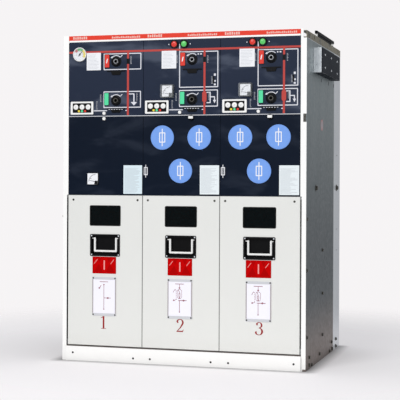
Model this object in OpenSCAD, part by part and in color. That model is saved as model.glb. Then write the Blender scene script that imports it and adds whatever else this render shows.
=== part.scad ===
// Gas insulated ring main unit, three bays side by side in one sheet-metal cabinet.
// Bay 1 is a plain cable bay, and bays 2 and 3 are fused transformer bays.
// Millimetres. +X is to the right seen from the front, +Y runs from the front to the back, +Z is up.
// The origin is on the floor, at the middle of the whole unit's width and depth.

/* [Cabinet] */
// Width of one bay
bay_w = 324; // [310:1:420]
// Depth from the front face to the back face
depth = 765; // [700:1:950]
// Width of the white corner trim beside the panels
trim_w = 24.5; // [20:0.5:30]
// Width of the same trim beside the cable covers
trim_low_w = 18; // [14:0.5:22]
// Thickness of the cabinet's sheet metal
sheet = 2; // [1.5:0.5:3]
// How far panels and covers fold back behind their faces
fold = 20; // [14:1:30]
// Gap between two neighbouring panels or covers
seam = 1.5; // [1:0.5:3]

/* [Heights from the floor up] */
// Height of the plinth and its kick panel
plinth_h = 60; // [40:1:100]
// Gap under the cable covers
cover_gap = 5.5; // [3:0.5:8]
// Height of a cable cover
cover_h = 614.5; // [510:0.5:760]
// Height of a lower front panel
lower_h = 321; // [267:1:400]
// Gap between the lower and the upper front panels
mid_gap = 3; // [2:0.5:6]
// Height of an upper front panel
upper_h = 303; // [252:1:370]
// Height of the header strip
header_h = 27; // [20:1:40]
// Height of the rails on top of the side plates
rail_h = 27; // [20:1:40]
// How far the rails end below the header strip's upper edge
rail_drop = 6.25; // [1:0.25:12]

/* [Plinth] */
// How far the kick panel stands proud of the front face
kick_proud = 6; // [3:1:10]
// Wall thickness of the base frame
base_wall = 3; // [2:0.5:5]
// Width of the base frame's floor flange
base_flange = 40; // [34:1:60]
// Radius of the floor anchor holes
anchor_r = 7; // [5:0.5:9]
// Distance of the anchor holes from the outside of the base frame
anchor_in = 22; // [18:0.5:27]

/* [Sides and back] */
// Depth of the grey side plates, front part
side_d = 608; // [604:1:730]
// Width of the back leg of the rear corners
rear_leg = 60; // [40:1:90]
// Reach of the top rails' flanges
rail_flange = 24; // [22:1:35]
// Radius of the lifting holes in the top rails
lift_r = 7; // [5:0.5:9]
// Distance of the first and the last lifting hole from the front and the back
lift_y = 60; // [40:1:120]
// Distance from the first lifting hole to the second
lift_pitch = 95; // [60:1:140]
// Width of the hanging slots in the side plates
slot_w = 12; // [8:1:14]
// Height of the hanging slots
slot_h = 17; // [15:1:22]

/* [Busbar covers] */
// How far a side busbar cover stands out from the side plate
bus_out = 35; // [25:1:60]
// Depth of a side busbar cover, front to back
bus_d = 412; // [340:1:500]
// Height of a side busbar cover
bus_h = 100; // [80:1:120]
// Distance from the front face to a side busbar cover
bus_y = 139; // [100:1:150]
// Distance from the top of a side plate down to the underside of its busbar cover
bus_drop = 124; // [122:1:180]
// Distance from that underside down to the middle of the hanging slots
slot_drop = 18; // [12:1:30]
// Length of the black guard bars on the top
guard_l = 394; // [328:1:480]
// Distance from the front face to the guard bars
guard_y = 212; // [176:1:280]
// Height of the guard bars' feet and spacers
guard_foot_h = 12; // [10:1:20]
// Height of the guard bars
guard_h = 12; // [8:1:16]
// Width of the guard bars
guard_w = 10; // [8:1:16]

/* [Gas tank and cable compartment] */
// Distance from the front face to the upper front of the gas tank
tank_y = 175; // [140:1:220]
// Distance from the front face to the lower front of the gas tank
tank_low_y = 330; // [270:1:400]
// Distance from the cable bushings' centre line down to the gas tank's underside
tank_drop = 217; // [100:1:280]
// Length of a cable bushing
bushing_l = 110; // [90:1:140]
// Radius of a cable bushing at the tank
bushing_r = 42; // [35:0.5:50]
// Gap between two neighbouring bushings
bushing_gap = 8; // [4:1:14]

/* [Cable covers] */
// Width of the inspection window
window_w = 133; // [110:1:180]
// Height of the inspection window
window_h = 82; // [68:1:110]
// Distance from the cover's upper edge down to the window
window_drop = 42; // [25:1:60]
// Thickness of the window pane
pane_t = 3; // [2:0.5:5]
// Corner radius of windows, handle dishes and meters
corner_r = 5; // [3:0.5:7]
// Width of the handle dish
dish_w = 130; // [108:1:160]
// Height of the handle dish
dish_h = 90; // [75:1:110]
// Distance from the window down to the handle dish
dish_drop = 35; // [24:1:50]
// Depth of the handle dish's recess
dish_d = 16; // [13:0.5:20]
// Rim of the handle dish around its recess
dish_rim = 8; // [6.5:0.5:10]
// Room beside the handle bail in its recess
bail_side_room = 6.5; // [3:0.5:10]
// Room between the bail's top and the recess
bail_top_room = 5; // [4:0.25:8]
// Room under the bail in its recess
bail_low_room = 8.75; // [6:0.25:14]
// Radius of the bail's bar
bail_r = 4.25; // [3.5:0.25:5.25]
// Radius of the bail's pivot pins
bail_pin_r = 2; // [1.5:0.25:2.5]
// Width of the diagram holder
holder_w = 105; // [85:1:130]
// Height of the diagram holder
holder_h = 160; // [130:1:195]
// Distance from the handle dish down to the diagram holder
holder_drop = 84; // [60:1:90]
// Thickness of the diagram holder
holder_t = 3; // [2:0.5:5]

/* [Front panel devices] */
// Radius of the lever socket collars
socket_r = 16.5; // [13.5:0.5:20]
// Radius of the lever sockets' journals
journal_r = 11; // [9:0.1:14]
// Radius of the bore for the operating lever
lever_r = 6.5; // [5:0.5:8]
// Depth of the bore for the operating lever
lever_d = 28; // [20:1:45]
// How far a lever socket stands proud of the panel
socket_proud = 7; // [5:1:12]
// Radius of the push buttons' bezels
bezel_r = 17; // [14:0.5:19]
// Radius of the push buttons
button_r = 11.5; // [9.5:0.5:14]
// Height of the bezels above the panel
bezel_h = 6; // [4:1:8]
// Stroke of the push buttons
button_stroke = 4; // [2:0.5:5]
// Radius of the gas pressure gauge
gauge_r = 28.5; // [23.5:0.5:36]
// Height of the gauge above the panel
gauge_h = 7; // [4:1:10]
// Side of the square ammeters
meter_w = 54; // [45:1:66]
// How far an ammeter's clear cover stands proud of the front face
meter_proud = 20; // [14:1:28]
// Radius of the fuse canister covers
fuse_r = 49; // [40:0.5:60]
// Height of the fuse canister covers above the panel
fuse_h = 4; // [3:0.5:6]
// Width of a voltage indicator
indicator_w = 100; // [83:1:125]
// Height of a voltage indicator
indicator_h = 53; // [44:1:62]
// Height of the indicator above the panel
indicator_t = 3; // [2:0.5:5]

/* [Clearances] */
// Radial running clearance of pins and journals
run_gap = 0.05; // [0.03:0.01:0.1]
// Gap between a moving piece and the face beside it
side_gap = 0.4; // [0.3:0.1:0.6]

/* [Hidden] */
$fn = 64;
bays = 3;
width = bays * bay_w + 2 * trim_w;
half_w = width / 2;
inner_w = half_w - sheet;
// The front face, so that the unit with its meter covers is centred on the origin
face_y = -(depth - meter_proud) / 2;
// Heights of the rows of panels
cover_z = plinth_h + cover_gap;
lower_z = cover_z + cover_h + seam;
upper_z = lower_z + lower_h + mid_gap;
header_z = upper_z + upper_h + seam / 2;
top_z = header_z + header_h;
rail_top = top_z - rail_drop;
rail_z = rail_top - rail_h;
side_h = rail_z - sheet;
bus_z = side_h - bus_drop;
guard_z = rail_top + guard_foot_h;
// Panels stand this far behind the covers' faces
panel_y = 1;
// The header's folded top, front to back
header_d = 40;
// The right trim's outer strip, and its cut-out beside the seam between the panels
step_w = 13;
notch_z0 = upper_z - 33;
notch_z1 = upper_z - 1;
// Rails behind the panels' seams
rail_y = fold;
cross_d = 30;
cross_h = 24;
// Operating mechanism plates, from the front, beside the bay's edges and over the lower panels
mech_y = 60;
mech_margin = 16;
mech_up = 20;
mech_room = 10;
// The tank's roof under the top plate, and its step over the cable covers
tank_roof_drop = 12;
tank_step_up = 20;
// Hanging slots, from the front end of the busbar cover
slot_steps = [167, 332, 457];
// Middle of a cable cover, and the devices that stand in line on it
mid_x = bay_w / 2;
window_z = cover_z + cover_h - window_drop - window_h;
dish_z = window_z - dish_drop - dish_h;
holder_z = dish_z - holder_drop - holder_h;
// The bushings stand behind the window
bushing_z = window_z + window_h / 2;
bushing_pitch = 2 * bushing_r + bushing_gap;
tank_z = bushing_z - tank_drop;
// Devices on an upper panel, from the bay's left edge and up from the panel's lower edge
socket_x = 207;
switch_up = upper_h - 82;
earth_up = 61.5;
button_up = upper_h - 19;
red_x = 132;
green_x = 173;
gauge_x = 48;
gauge_up = upper_h - 50;
meter_x = 105;
meter_up = 95.5;
indicator_x = 9 + indicator_w / 2;
indicator_up = 6 + indicator_h / 2;
meter_wall = 2;
meter_fit = 0.3;
small_meter_w = meter_w - 5;
knob_x = 157;
knob_up = 10;
knob_r = 6.5;
// Devices on a lower panel, up from the panel's lower edge
small_meter_x = 108;
small_meter_up = 66;
fuse_left_x = 83;
fuse_right_x = 238;
fuse_low_x = 160;
fuse_up = lower_h - 88;
fuse_low_up = 99;
low_knob_x = 204;
low_knob_up = lower_h - 9;
low_knob_r = 9.5;
knob_h = 9;
// The handle dish's recess, and the bail in it
pocket_w = dish_w - 2 * dish_rim;
pocket_h = dish_h - 2 * dish_rim;
pivot_z = dish_z + dish_h - dish_rim - bail_top_room - bail_r;
bail_w = pocket_w - 2 * bail_side_room;
bail_h = pocket_h - bail_top_room - bail_r - bail_low_room;
bail_y = bail_r + 1;
eps = 0.01;

white = [0.93, 0.94, 0.92];
warm_white = [0.90, 0.90, 0.87];
galvanised = [0.55, 0.58, 0.59];
bright = [0.80, 0.83, 0.85];
passivated = [0.42, 0.40, 0.30];
navy = [0.06, 0.08, 0.13];
black = [0.04, 0.04, 0.05];
blue = [0.36, 0.52, 0.85];
steel = [0.66, 0.68, 0.70];

function bay_x(bay) = -half_w + trim_w + (bay - 1) * bay_w;

// A box from its low corner, measured back from the front face
module front_box(x, y, z, w, d, h) {
    translate([x, face_y + y, z]) cube([w, d, h]);
}

// A round bar or hole along Y, from one distance behind the face to another
module y_rod(x, z, r, y0, y1) {
    translate([x, face_y + y0, z]) rotate([-90, 0, 0]) cylinder(r = r, h = y1 - y0);
}

// A bar along X
module x_rod(x0, x1, y, z, r) {
    translate([x0, face_y + y, z]) rotate([0, 90, 0]) cylinder(r = r, h = x1 - x0);
}

// A rounded rectangle, from its low corner
module rounded(w, h, r) {
    translate([r, 0]) square([w - 2 * r, h]);
    translate([0, r]) square([w, h - 2 * r]);
    for (x = [r, w - r], y = [r, h - r]) translate([x, y]) circle(r);
}

// A rounded plate facing the front, from one distance behind the face to another
module rounded_plate(x, z, w, h, r, y0, y1) {
    translate([x, face_y + y1, z]) rotate([90, 0, 0]) linear_extrude(y1 - y0) rounded(w, h, r);
}

// A shallow sheet-metal tray that faces the front, with its edges folded back
module tray(x0, x1, z0, z1, y) {
    difference() {
        front_box(x0, y, z0, x1 - x0, fold - y, z1 - z0);
        front_box(x0 + sheet, y + sheet, z0 + sheet, x1 - x0 - 2 * sheet, fold, z1 - z0 - 2 * sheet);
    }
}

// Left and right edges of a bay's panels, with half a seam to the next bay
function panel_left(bay) = bay_x(bay) + (bay == 1 ? 0 : seam / 2);
function panel_right(bay) = bay_x(bay + 1) - (bay == bays ? 0 : seam / 2);

// ---- Plinth ----

module base_frame() {
    w = inner_w;
    y0 = sheet;
    y1 = depth - sheet;
    color(galvanised) difference() {
        front_box(-w, y0, 0, 2 * w, y1 - y0, plinth_h);
        front_box(-w + base_wall, y0 + base_wall, base_wall, 2 * (w - base_wall),
            y1 - y0 - 2 * base_wall, plinth_h);
        front_box(-w + base_flange, y0 + base_flange, -1, 2 * (w - base_flange),
            y1 - y0 - 2 * base_flange, plinth_h);
        for (x = [-w + anchor_in, w - anchor_in], y = [y0 + anchor_in, y1 - anchor_in])
            translate([x, face_y + y, -1]) cylinder(r = anchor_r, h = base_wall + 2);
    }
}

module floor_plate() {
    color(galvanised) front_box(-inner_w, sheet + base_wall, plinth_h, 2 * inner_w,
        depth - 2 * sheet - base_wall, sheet);
}

module kick_panel() {
    x = half_w - trim_low_w;
    color(white) difference() {
        front_box(-x, -kick_proud, 0, 2 * x, kick_proud + sheet, plinth_h - 1);
        front_box(-x - 1, sheet - kick_proud, sheet, 2 * x + 2, kick_proud + 1, plinth_h - 1 - 2 * sheet);
    }
}

// ---- Sides and back ----

module slot(y, z) {
    for (end = [-1, 1]) translate([0, face_y + y, z + end * (slot_h - slot_w) / 2])
        rotate([0, 90, 0]) cylinder(r = slot_w / 2, h = sheet + 2, center = true);
    translate([0, face_y + y, z]) cube([sheet + 2, slot_w, slot_h - slot_w], center = true);
}

module side_plates() {
    color(galvanised) for (side = [-1, 1]) difference() {
        front_box(side > 0 ? half_w - sheet : -half_w, sheet, 0, sheet, side_d - sheet, side_h);
        translate([side * (half_w - sheet / 2), 0, 0])
            for (step = slot_steps) slot(bus_y + step, bus_z - slot_drop);
    }
}

module rear_corners() {
    color(bright) for (side = [-1, 1]) {
        front_box(side > 0 ? half_w - sheet : -half_w, side_d, 0, sheet, depth - side_d, side_h);
        front_box(side > 0 ? half_w - rear_leg : -half_w, depth - sheet, 0, rear_leg, sheet, side_h);
    }
}

module rear_panels() {
    x = half_w - rear_leg - seam;
    split = tank_z - 10;
    color(bright) {
        front_box(-x, depth - sheet, 0, 2 * x, sheet, split - seam);
        front_box(-x, depth - sheet, split, 2 * x, sheet, side_h - split);
    }
}

// ---- Inside ----

// The welded gas tank, deep above and set back below, where the cables come in
module gas_tank() {
    y1 = depth - sheet;
    roof = side_h - tank_roof_drop;
    step = lower_z + tank_step_up;
    color(steel) translate([-inner_w, 0, 0]) rotate([90, 0, 90]) linear_extrude(2 * inner_w)
        polygon([[face_y + tank_low_y, tank_z], [face_y + y1, tank_z], [face_y + y1, roof],
            [face_y + tank_y, roof], [face_y + tank_y, step], [face_y + tank_low_y, step]]);
}

module cross_rails() {
    color(bright) {
        front_box(-inner_w, rail_y, plinth_h + sheet, 2 * inner_w, cross_d, cross_h);
        for (z = [lower_z - seam / 2, upper_z - mid_gap / 2])
            front_box(-inner_w, rail_y, z - cross_h / 2, 2 * inner_w, cross_d, cross_h);
        front_box(-inner_w, rail_y, side_h - cross_h, 2 * inner_w, cross_d, cross_h);
    }
}

module bay_partitions() {
    z0 = plinth_h + sheet + cross_h;
    z1 = lower_z - seam / 2 - cross_h / 2;
    color(galvanised) for (bay = [2, 3])
        front_box(bay_x(bay) - sheet / 2, rail_y, z0, sheet, tank_low_y - rail_y, z1 - z0);
}

// A folded plate in each bay that carries the operating mechanism, seated on the tank's front
module mechanism_frames() {
    z0 = upper_z + mech_up;
    h = side_h - cross_h - mech_room - z0;
    color(bright) for (bay = [1:bays]) {
        x = bay_x(bay) + mech_margin;
        w = bay_w - 2 * mech_margin;
        difference() {
            front_box(x, mech_y, z0, w, tank_y - mech_y, h);
            front_box(x + sheet, mech_y + sheet, z0 - 1, w - 2 * sheet, tank_y, h + 2);
        }
    }
}

module cable_bushings() {
    neck = bushing_r * 0.62;
    color(black) for (bay = [1:bays], i = [-1, 0, 1])
        translate([bay_x(bay) + mid_x + i * bushing_pitch, face_y + tank_low_y, bushing_z])
            rotate([90, 0, 0]) rotate_extrude() polygon([[0, 0], [bushing_r, 0], [bushing_r, 12],
                [neck + 4, 20], [neck, bushing_l - 6], [neck - 6, bushing_l], [0, bushing_l]]);
}

// ---- White trims, header and top ----

module corner_trim_left() {
    color(white) {
        front_box(-half_w, 0, 0, trim_low_w, sheet, top_z);
        front_box(-half_w, 0, lower_z, trim_w - 1, sheet, top_z - lower_z);
        front_box(-inner_w, sheet, plinth_h + sheet, sheet, fold - sheet, side_h - plinth_h - sheet);
    }
}

// The right trim is in two steps, and its outer strip is cut away at a latch bracket
module corner_trim_right() {
    inner_edge = half_w - step_w;
    color(white) {
        front_box(half_w - trim_low_w, 0, 0, trim_low_w - step_w, sheet, top_z);
        front_box(half_w - trim_w + 1, 0, lower_z, trim_w - 1 - step_w, sheet, top_z - lower_z);
        front_box(inner_edge, 0, 8, step_w, sheet, notch_z0 - 8);
        front_box(inner_edge, 0, notch_z1, step_w, sheet, side_h - notch_z1);
        front_box(inner_edge - sheet, sheet, plinth_h + sheet, sheet, fold - sheet,
            side_h - plinth_h - sheet);
        front_box(inner_edge - sheet, fold - sheet, plinth_h + sheet, step_w, sheet,
            side_h - plinth_h - sheet);
    }
}

module header_strip() {
    x = half_w - trim_w;
    box_x = half_w - max(trim_w, rail_flange + seam);
    color(white) {
        front_box(-x, 0, header_z, 2 * x, sheet, header_h);
        front_box(-box_x, sheet, top_z - sheet, 2 * box_x, header_d, sheet);
        front_box(-box_x, header_d, rail_z, 2 * box_x, sheet, top_z - sheet - rail_z);
    }
}

module top_plate() {
    color(bright) front_box(-half_w, fold, side_h, width, depth - fold, sheet);
}

// Channel rails along both sides, open inwards, with holes for lifting eyes
module top_rails() {
    color(passivated) for (side = [-1, 1]) difference() {
        front_box(side > 0 ? half_w - rail_flange : -half_w, sheet, rail_z, rail_flange,
            depth - sheet, rail_h);
        front_box(side > 0 ? half_w - rail_flange - 1 : -half_w + sheet, -1, rail_z + sheet,
            rail_flange - sheet + 1, depth + 2, rail_h - 2 * sheet);
        for (y = [lift_y, lift_y + lift_pitch, depth - lift_y])
            translate([side * half_w, face_y + y, rail_z + rail_h / 2])
                rotate([0, 90, 0]) cylinder(r = lift_r, h = 4 * sheet, center = true);
    }
}

// Black bars that stand on the rails, each with a long foot and a spacer at both ends
module top_guard_bars() {
    inset = 26;
    color(black) for (side = [-1, 1]) {
        front_box(side > 0 ? half_w - guard_w : -half_w, guard_y, guard_z, guard_w, guard_l, guard_h);
        front_box(side > 0 ? half_w - guard_w + 1 : -half_w + 3, guard_y + inset, rail_top,
            guard_w - 4, guard_l - 3 * inset, guard_foot_h + eps);
    }
}

module top_spacers() {
    color(white) for (side = [-1, 1], y = [guard_y + 13, guard_y + guard_l - 16])
        translate([side * (half_w - guard_w / 2 - 3), face_y + y, rail_top])
            cylinder(r = guard_w / 2 + 2, h = guard_foot_h);
}

// Bright folded frames on both side plates, and the black plates that close them
module busbar_brackets() {
    color(bright) for (side = [-1, 1]) difference() {
        front_box(side > 0 ? half_w : -half_w - bus_out + 3, bus_y, bus_z, bus_out - 3, bus_d, bus_h);
        front_box(side > 0 ? half_w - 1 : -half_w - bus_out, bus_y + sheet, bus_z + sheet, bus_out + 2,
            bus_d - 2 * sheet, bus_h - 2 * sheet);
    }
}

module busbar_covers() {
    color(navy) for (side = [-1, 1])
        front_box(side > 0 ? half_w + bus_out - 3 : -half_w - bus_out, bus_y, bus_z, 3, bus_d, bus_h);
}

// ---- Front panels ----

module journal_holes(bay) {
    for (up = [switch_up, earth_up])
        y_rod(bay_x(bay) + socket_x, upper_z + up, journal_r + run_gap, -1, fold);
}

module upper_panel(bay) {
    color(navy) difference() {
        tray(panel_left(bay), panel_right(bay), upper_z, upper_z + upper_h, panel_y);
        journal_holes(bay);
        if (bay > 1) for (x = [red_x, green_x])
            y_rod(bay_x(bay) + x, upper_z + button_up, button_r + side_gap, -1, panel_y + sheet + 1);
    }
}

module lower_panels() {
    color(navy) for (bay = [1:bays])
        tray(panel_left(bay), panel_right(bay), lower_z, lower_z + lower_h, panel_y);
}

module cable_cover(bay) {
    x = bay_x(bay) + mid_x;
    wall = sheet + side_gap;
    color(warm_white) difference() {
        tray(panel_left(bay), panel_right(bay), cover_z, cover_z + cover_h, 0);
        rounded_plate(x - window_w / 2, window_z, window_w, window_h, corner_r, -1, fold);
        front_box(x - pocket_w / 2 - wall, -1, dish_z + dish_rim - wall, pocket_w + 2 * wall, fold,
            pocket_h + 2 * wall);
    }
}

module window_panes() {
    edge = 10;
    color([0.1, 0.1, 0.12, 0.6]) for (bay = [1:bays])
        rounded_plate(bay_x(bay) + mid_x - window_w / 2 - edge, window_z - edge, window_w + 2 * edge,
            window_h + 2 * edge, corner_r, sheet, sheet + pane_t);
}

// A shallow black dish let into each cover, with a recess for the fingers
module handle_dishes() {
    rim_t = 2;
    color(black) for (bay = [1:bays]) {
        x = bay_x(bay) + mid_x;
        z = dish_z + dish_rim;
        difference() {
            union() {
                rounded_plate(x - dish_w / 2, dish_z, dish_w, dish_h, corner_r, -rim_t, 0);
                front_box(x - pocket_w / 2 - sheet, 0, z - sheet, pocket_w + 2 * sheet, dish_d + sheet,
                    pocket_h + 2 * sheet);
            }
            front_box(x - pocket_w / 2, -rim_t - 1, z, pocket_w, dish_d + rim_t + 1, pocket_h);
            x_rod(x - pocket_w / 2 - sheet / 2 - 1, x + pocket_w / 2 + sheet / 2 + 1, bail_y, pivot_z,
                bail_pin_r + run_gap);
        }
    }
}

// The U-shaped handle, which hangs in the dish from two pivot pins
module bail(bay) {
    x = bay_x(bay) + mid_x;
    leg = bail_w / 2 - bail_r;
    low = pivot_z - bail_h + bail_r;
    color(white) {
        x_rod(x - leg, x + leg, bail_y, low, bail_r);
        for (side = [-1, 1]) {
            translate([x + side * leg, face_y + bail_y, low]) cylinder(r = bail_r, h = pivot_z - low);
            translate([x + side * leg, face_y + bail_y, low]) sphere(r = bail_r);
            translate([x + side * leg, face_y + bail_y, pivot_z]) sphere(r = bail_r);
        }
        x_rod(x - pocket_w / 2 - sheet / 2, x - leg, bail_y, pivot_z, bail_pin_r);
        x_rod(x + leg, x + pocket_w / 2 + sheet / 2, bail_y, pivot_z, bail_pin_r);
    }
}

module diagram_holders() {
    color(white) for (bay = [1:bays])
        rounded_plate(bay_x(bay) + mid_x - holder_w / 2 - 2, holder_z, holder_w, holder_h, 3,
            -holder_t, 0);
}

// ---- Devices on the panels ----

// A square with rounded corners, centred on a point of the front
module square_device(x, z, w, h, r, y0, y1) {
    rounded_plate(x - w / 2, z - h / 2, w, h, r, y0, y1);
}

module gauge_case() {
    x = bay_x(1) + gauge_x;
    z = upper_z + gauge_up;
    color(white) difference() {
        y_rod(x, z, gauge_r, panel_y - gauge_h, panel_y);
        y_rod(x, z, gauge_r - 2.5, panel_y - gauge_h - 1, panel_y - 2);
    }
}

module meter_bases() {
    inner = meter_w - 2 * meter_wall - 2 * meter_fit;
    color(black) {
        for (bay = [2, 3])
            square_device(bay_x(bay) + meter_x, upper_z + meter_up, inner, inner, corner_r - meter_wall,
                panel_y - meter_proud + 8, panel_y);
        square_device(bay_x(1) + small_meter_x, lower_z + small_meter_up, small_meter_w,
            small_meter_w, corner_r, panel_y - 5, panel_y);
    }
}

module meter_covers() {
    inner = meter_w - 2 * meter_wall;
    color([0.85, 0.88, 0.9, 0.35]) for (bay = [2, 3]) difference() {
        square_device(bay_x(bay) + meter_x, upper_z + meter_up, meter_w, meter_w, corner_r,
            -meter_proud, panel_y);
        square_device(bay_x(bay) + meter_x, upper_z + meter_up, inner, inner, corner_r - meter_wall,
            -meter_proud + meter_wall, panel_y + 1);
    }
}

module voltage_indicators() {
    color(black) for (bay = [1:bays])
        square_device(bay_x(bay) + indicator_x, upper_z + indicator_up, indicator_w, indicator_h, 3,
            panel_y - indicator_t, panel_y);
}

module fuse_covers() {
    color(blue) for (bay = [2, 3]) {
        for (x = [fuse_left_x, fuse_right_x])
            y_rod(bay_x(bay) + x, lower_z + fuse_up, fuse_r, panel_y - fuse_h, panel_y);
        y_rod(bay_x(bay) + fuse_low_x, lower_z + fuse_low_up, fuse_r, panel_y - fuse_h, panel_y);
    }
}

module button_bezels() {
    color(black) for (bay = [2, 3], x = [red_x, green_x]) difference() {
        y_rod(bay_x(bay) + x, upper_z + button_up, bezel_r, panel_y - bezel_h, panel_y);
        y_rod(bay_x(bay) + x, upper_z + button_up, button_r + run_gap, -bezel_h - 1, panel_y + 1);
    }
}

module push_button(bay, x, shade) {
    color(shade) y_rod(bay_x(bay) + x, upper_z + button_up, button_r,
        panel_y - bezel_h - button_stroke + 1, panel_y + 8);
}

// A bar and a tapered tab that hold the padlock under each lever socket
module padlock_slides() {
    t = 4;
    color(black) for (bay = [1:bays], low = [switch_up - 35, earth_up - 29.5])
        translate([bay_x(bay) + socket_x, face_y + panel_y, upper_z + low]) rotate([90, 0, 0])
            linear_extrude(t) polygon([[-39, -2], [39, -2], [39, -6], [22, -6], [17, -20], [-17, -20],
                [-22, -6], [-39, -6]]);
}

module release_knobs() {
    color(white) for (bay = [1:bays]) {
        y_rod(bay_x(bay) + knob_x, upper_z + knob_up, knob_r, panel_y - knob_h, panel_y);
        if (bay == 1)
            y_rod(bay_x(bay) + knob_x, lower_z + low_knob_up, knob_r, panel_y - knob_h, panel_y);
        else
            y_rod(bay_x(bay) + low_knob_x, lower_z + low_knob_up, low_knob_r, panel_y - knob_h, panel_y);
    }
}

// A collar that the operating lever plugs into, on a journal through the panel
module lever_socket(bay, up) {
    x = bay_x(bay) + socket_x;
    z = upper_z + up;
    color(black) difference() {
        union() {
            y_rod(x, z, socket_r, panel_y - socket_proud, panel_y - side_gap);
            y_rod(x, z, journal_r, panel_y - side_gap - eps, mech_y - side_gap);
        }
        y_rod(x, z, lever_r, panel_y - socket_proud - 1, panel_y - socket_proud + lever_d);
    }
}

base_frame();
floor_plate();
kick_panel();
side_plates();
rear_corners();
rear_panels();
gas_tank();
cross_rails();
bay_partitions();
mechanism_frames();
cable_bushings();
corner_trim_left();
corner_trim_right();
header_strip();
top_plate();
top_rails();
top_guard_bars();
top_spacers();
busbar_brackets();
busbar_covers();
upper_panel(1);  // upper_panel_1
upper_panel(2);  // upper_panel_2
upper_panel(3);  // upper_panel_3
lower_panels();
cable_cover(1);  // cable_cover_1
cable_cover(2);  // cable_cover_2
cable_cover(3);  // cable_cover_3
window_panes();
handle_dishes();
diagram_holders();
gauge_case();
meter_bases();
meter_covers();
voltage_indicators();
fuse_covers();
button_bezels();
padlock_slides();
release_knobs();
bail(1);  // bail_1
bail(2);  // bail_2
bail(3);  // bail_3
push_button(2, red_x, "red");  // button_red_2
push_button(2, green_x, "green");  // button_green_2
push_button(3, red_x, "red");  // button_red_3
push_button(3, green_x, "green");  // button_green_3
lever_socket(1, switch_up);  // switch_socket_1
lever_socket(2, switch_up);  // switch_socket_2
lever_socket(3, switch_up);  // switch_socket_3
lever_socket(1, earth_up);  // earth_socket_1
lever_socket(2, earth_up);  // earth_socket_2
lever_socket(3, earth_up);  // earth_socket_3
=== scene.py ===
# %% [markdown]
# # A gas insulated ring main unit, three bays wide
#
# The real object is a sheet-metal switchgear cabinet: white covers below, dark printed operating panels above,
# galvanised plates on the sides and a sealed gas tank inside. The cabinet's solids come ready-made from the CAD
# frame, at their real size. This script dresses them: paint, zinc and plastic, the printed circuit diagram, the
# small instruments, and every screw.
#
# The first cell loads the frame, and a helper reads the box of any of its nodes.

# %% Load the frame
import math

import bmesh
import bpy
from mathutils import Matrix, Vector


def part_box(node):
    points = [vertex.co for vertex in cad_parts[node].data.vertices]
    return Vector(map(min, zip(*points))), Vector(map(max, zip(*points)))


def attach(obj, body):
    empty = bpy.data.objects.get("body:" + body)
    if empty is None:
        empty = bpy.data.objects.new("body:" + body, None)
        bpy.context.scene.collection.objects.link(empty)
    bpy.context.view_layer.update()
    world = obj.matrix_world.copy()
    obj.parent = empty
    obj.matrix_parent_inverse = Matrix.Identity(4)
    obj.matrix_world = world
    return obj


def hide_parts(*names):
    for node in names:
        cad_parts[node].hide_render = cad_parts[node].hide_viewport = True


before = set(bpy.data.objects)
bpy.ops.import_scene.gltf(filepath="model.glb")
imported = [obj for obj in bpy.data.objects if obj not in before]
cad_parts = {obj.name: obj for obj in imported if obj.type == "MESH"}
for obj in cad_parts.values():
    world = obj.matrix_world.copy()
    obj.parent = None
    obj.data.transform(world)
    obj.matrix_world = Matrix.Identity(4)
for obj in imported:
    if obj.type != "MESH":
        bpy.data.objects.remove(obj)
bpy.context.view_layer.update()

# %% [markdown]
# Every size below is in millimetres, as on a workshop drawing, and is measured from three lines that the frame
# gives: the left edge of a bay, the lower edge of a panel, and a face that something is mounted on. One helper reads
# a node's box in millimetres. Because the places come from the frame, a change in the CAD moves the details with it.

# %% Measure the frame
MM = 0.001
BAYS = (1, 2, 3)
FUSED_BAYS = (2, 3)


def low(node):
    """The lowest corner of a CAD node, in millimetres."""
    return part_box(node)[0] / MM


def high(node):
    """The highest corner of a CAD node, in millimetres."""
    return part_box(node)[1] / MM


def middle(node):
    """The middle of a CAD node's box, in millimetres."""
    return (low(node) + high(node)) / 2


cover_face = low("cable_cover_1").y
panel_face = low("upper_panel_1").y
cover_z = low("cable_cover_1").z
cover_top = high("cable_cover_1").z
lower_z = low("lower_panels").z
upper_z = low("upper_panel_1").z
header_z = high("upper_panel_1").z
side_x = high("side_plates").x
bay_w = middle("switch_socket_2").x - middle("switch_socket_1").x
socket_x = middle("switch_socket_1").x - low("cable_cover_1").x
switch_z = middle("switch_socket_1").z
earth_z = middle("earth_socket_1").z
button_z = middle("button_red_2").z


def bay_x(bay):
    """The left edge of a bay."""
    return low("cable_cover_1").x + (bay - 1) * bay_w


print("bay width:", round(bay_w, 1), "panels start at:", round(lower_z, 1), round(upper_z, 1))

# %% [markdown]
# The camera stands a little to the right of the cabinet, level with its middle. It is far away and has a long lens,
# so that upright edges stay nearly parallel. It is made first, so that every later piece can be judged through it.

# %% Camera
CAMERA_AT = (1.414, -4.8905, 0.7385)
CAMERA_TURN = math.radians(16.455)
CAMERA_ROLL = math.radians(0.26)
LENS, SENSOR, SHIFT_UP = 106.2, 36, -0.0463
lens = bpy.data.cameras.new("camera")
lens.lens, lens.sensor_width, lens.shift_y = LENS, SENSOR, SHIFT_UP
camera = bpy.data.objects.new("camera", lens)
bpy.context.scene.collection.objects.link(camera)
camera.matrix_world = (
    Matrix.Translation(CAMERA_AT)
    @ Matrix.Rotation(CAMERA_TURN, 4, "Z")
    @ Matrix.Rotation(math.pi / 2, 4, "X")
    @ Matrix.Rotation(CAMERA_ROLL, 4, "Z")
)
bpy.context.scene.camera = camera
bpy.context.scene.view_settings.view_transform = "Standard"

# %% [markdown]
# ## Light
#
# The light is soft and the surround pale. Large area lamps in front give the white sheet metal its even tone, and a
# weaker one on the right leaves the side plates clearly darker. The surround that lamps
# and gloss see is greyer than the one behind the cabinet, so that the dark panels keep their depth.

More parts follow.
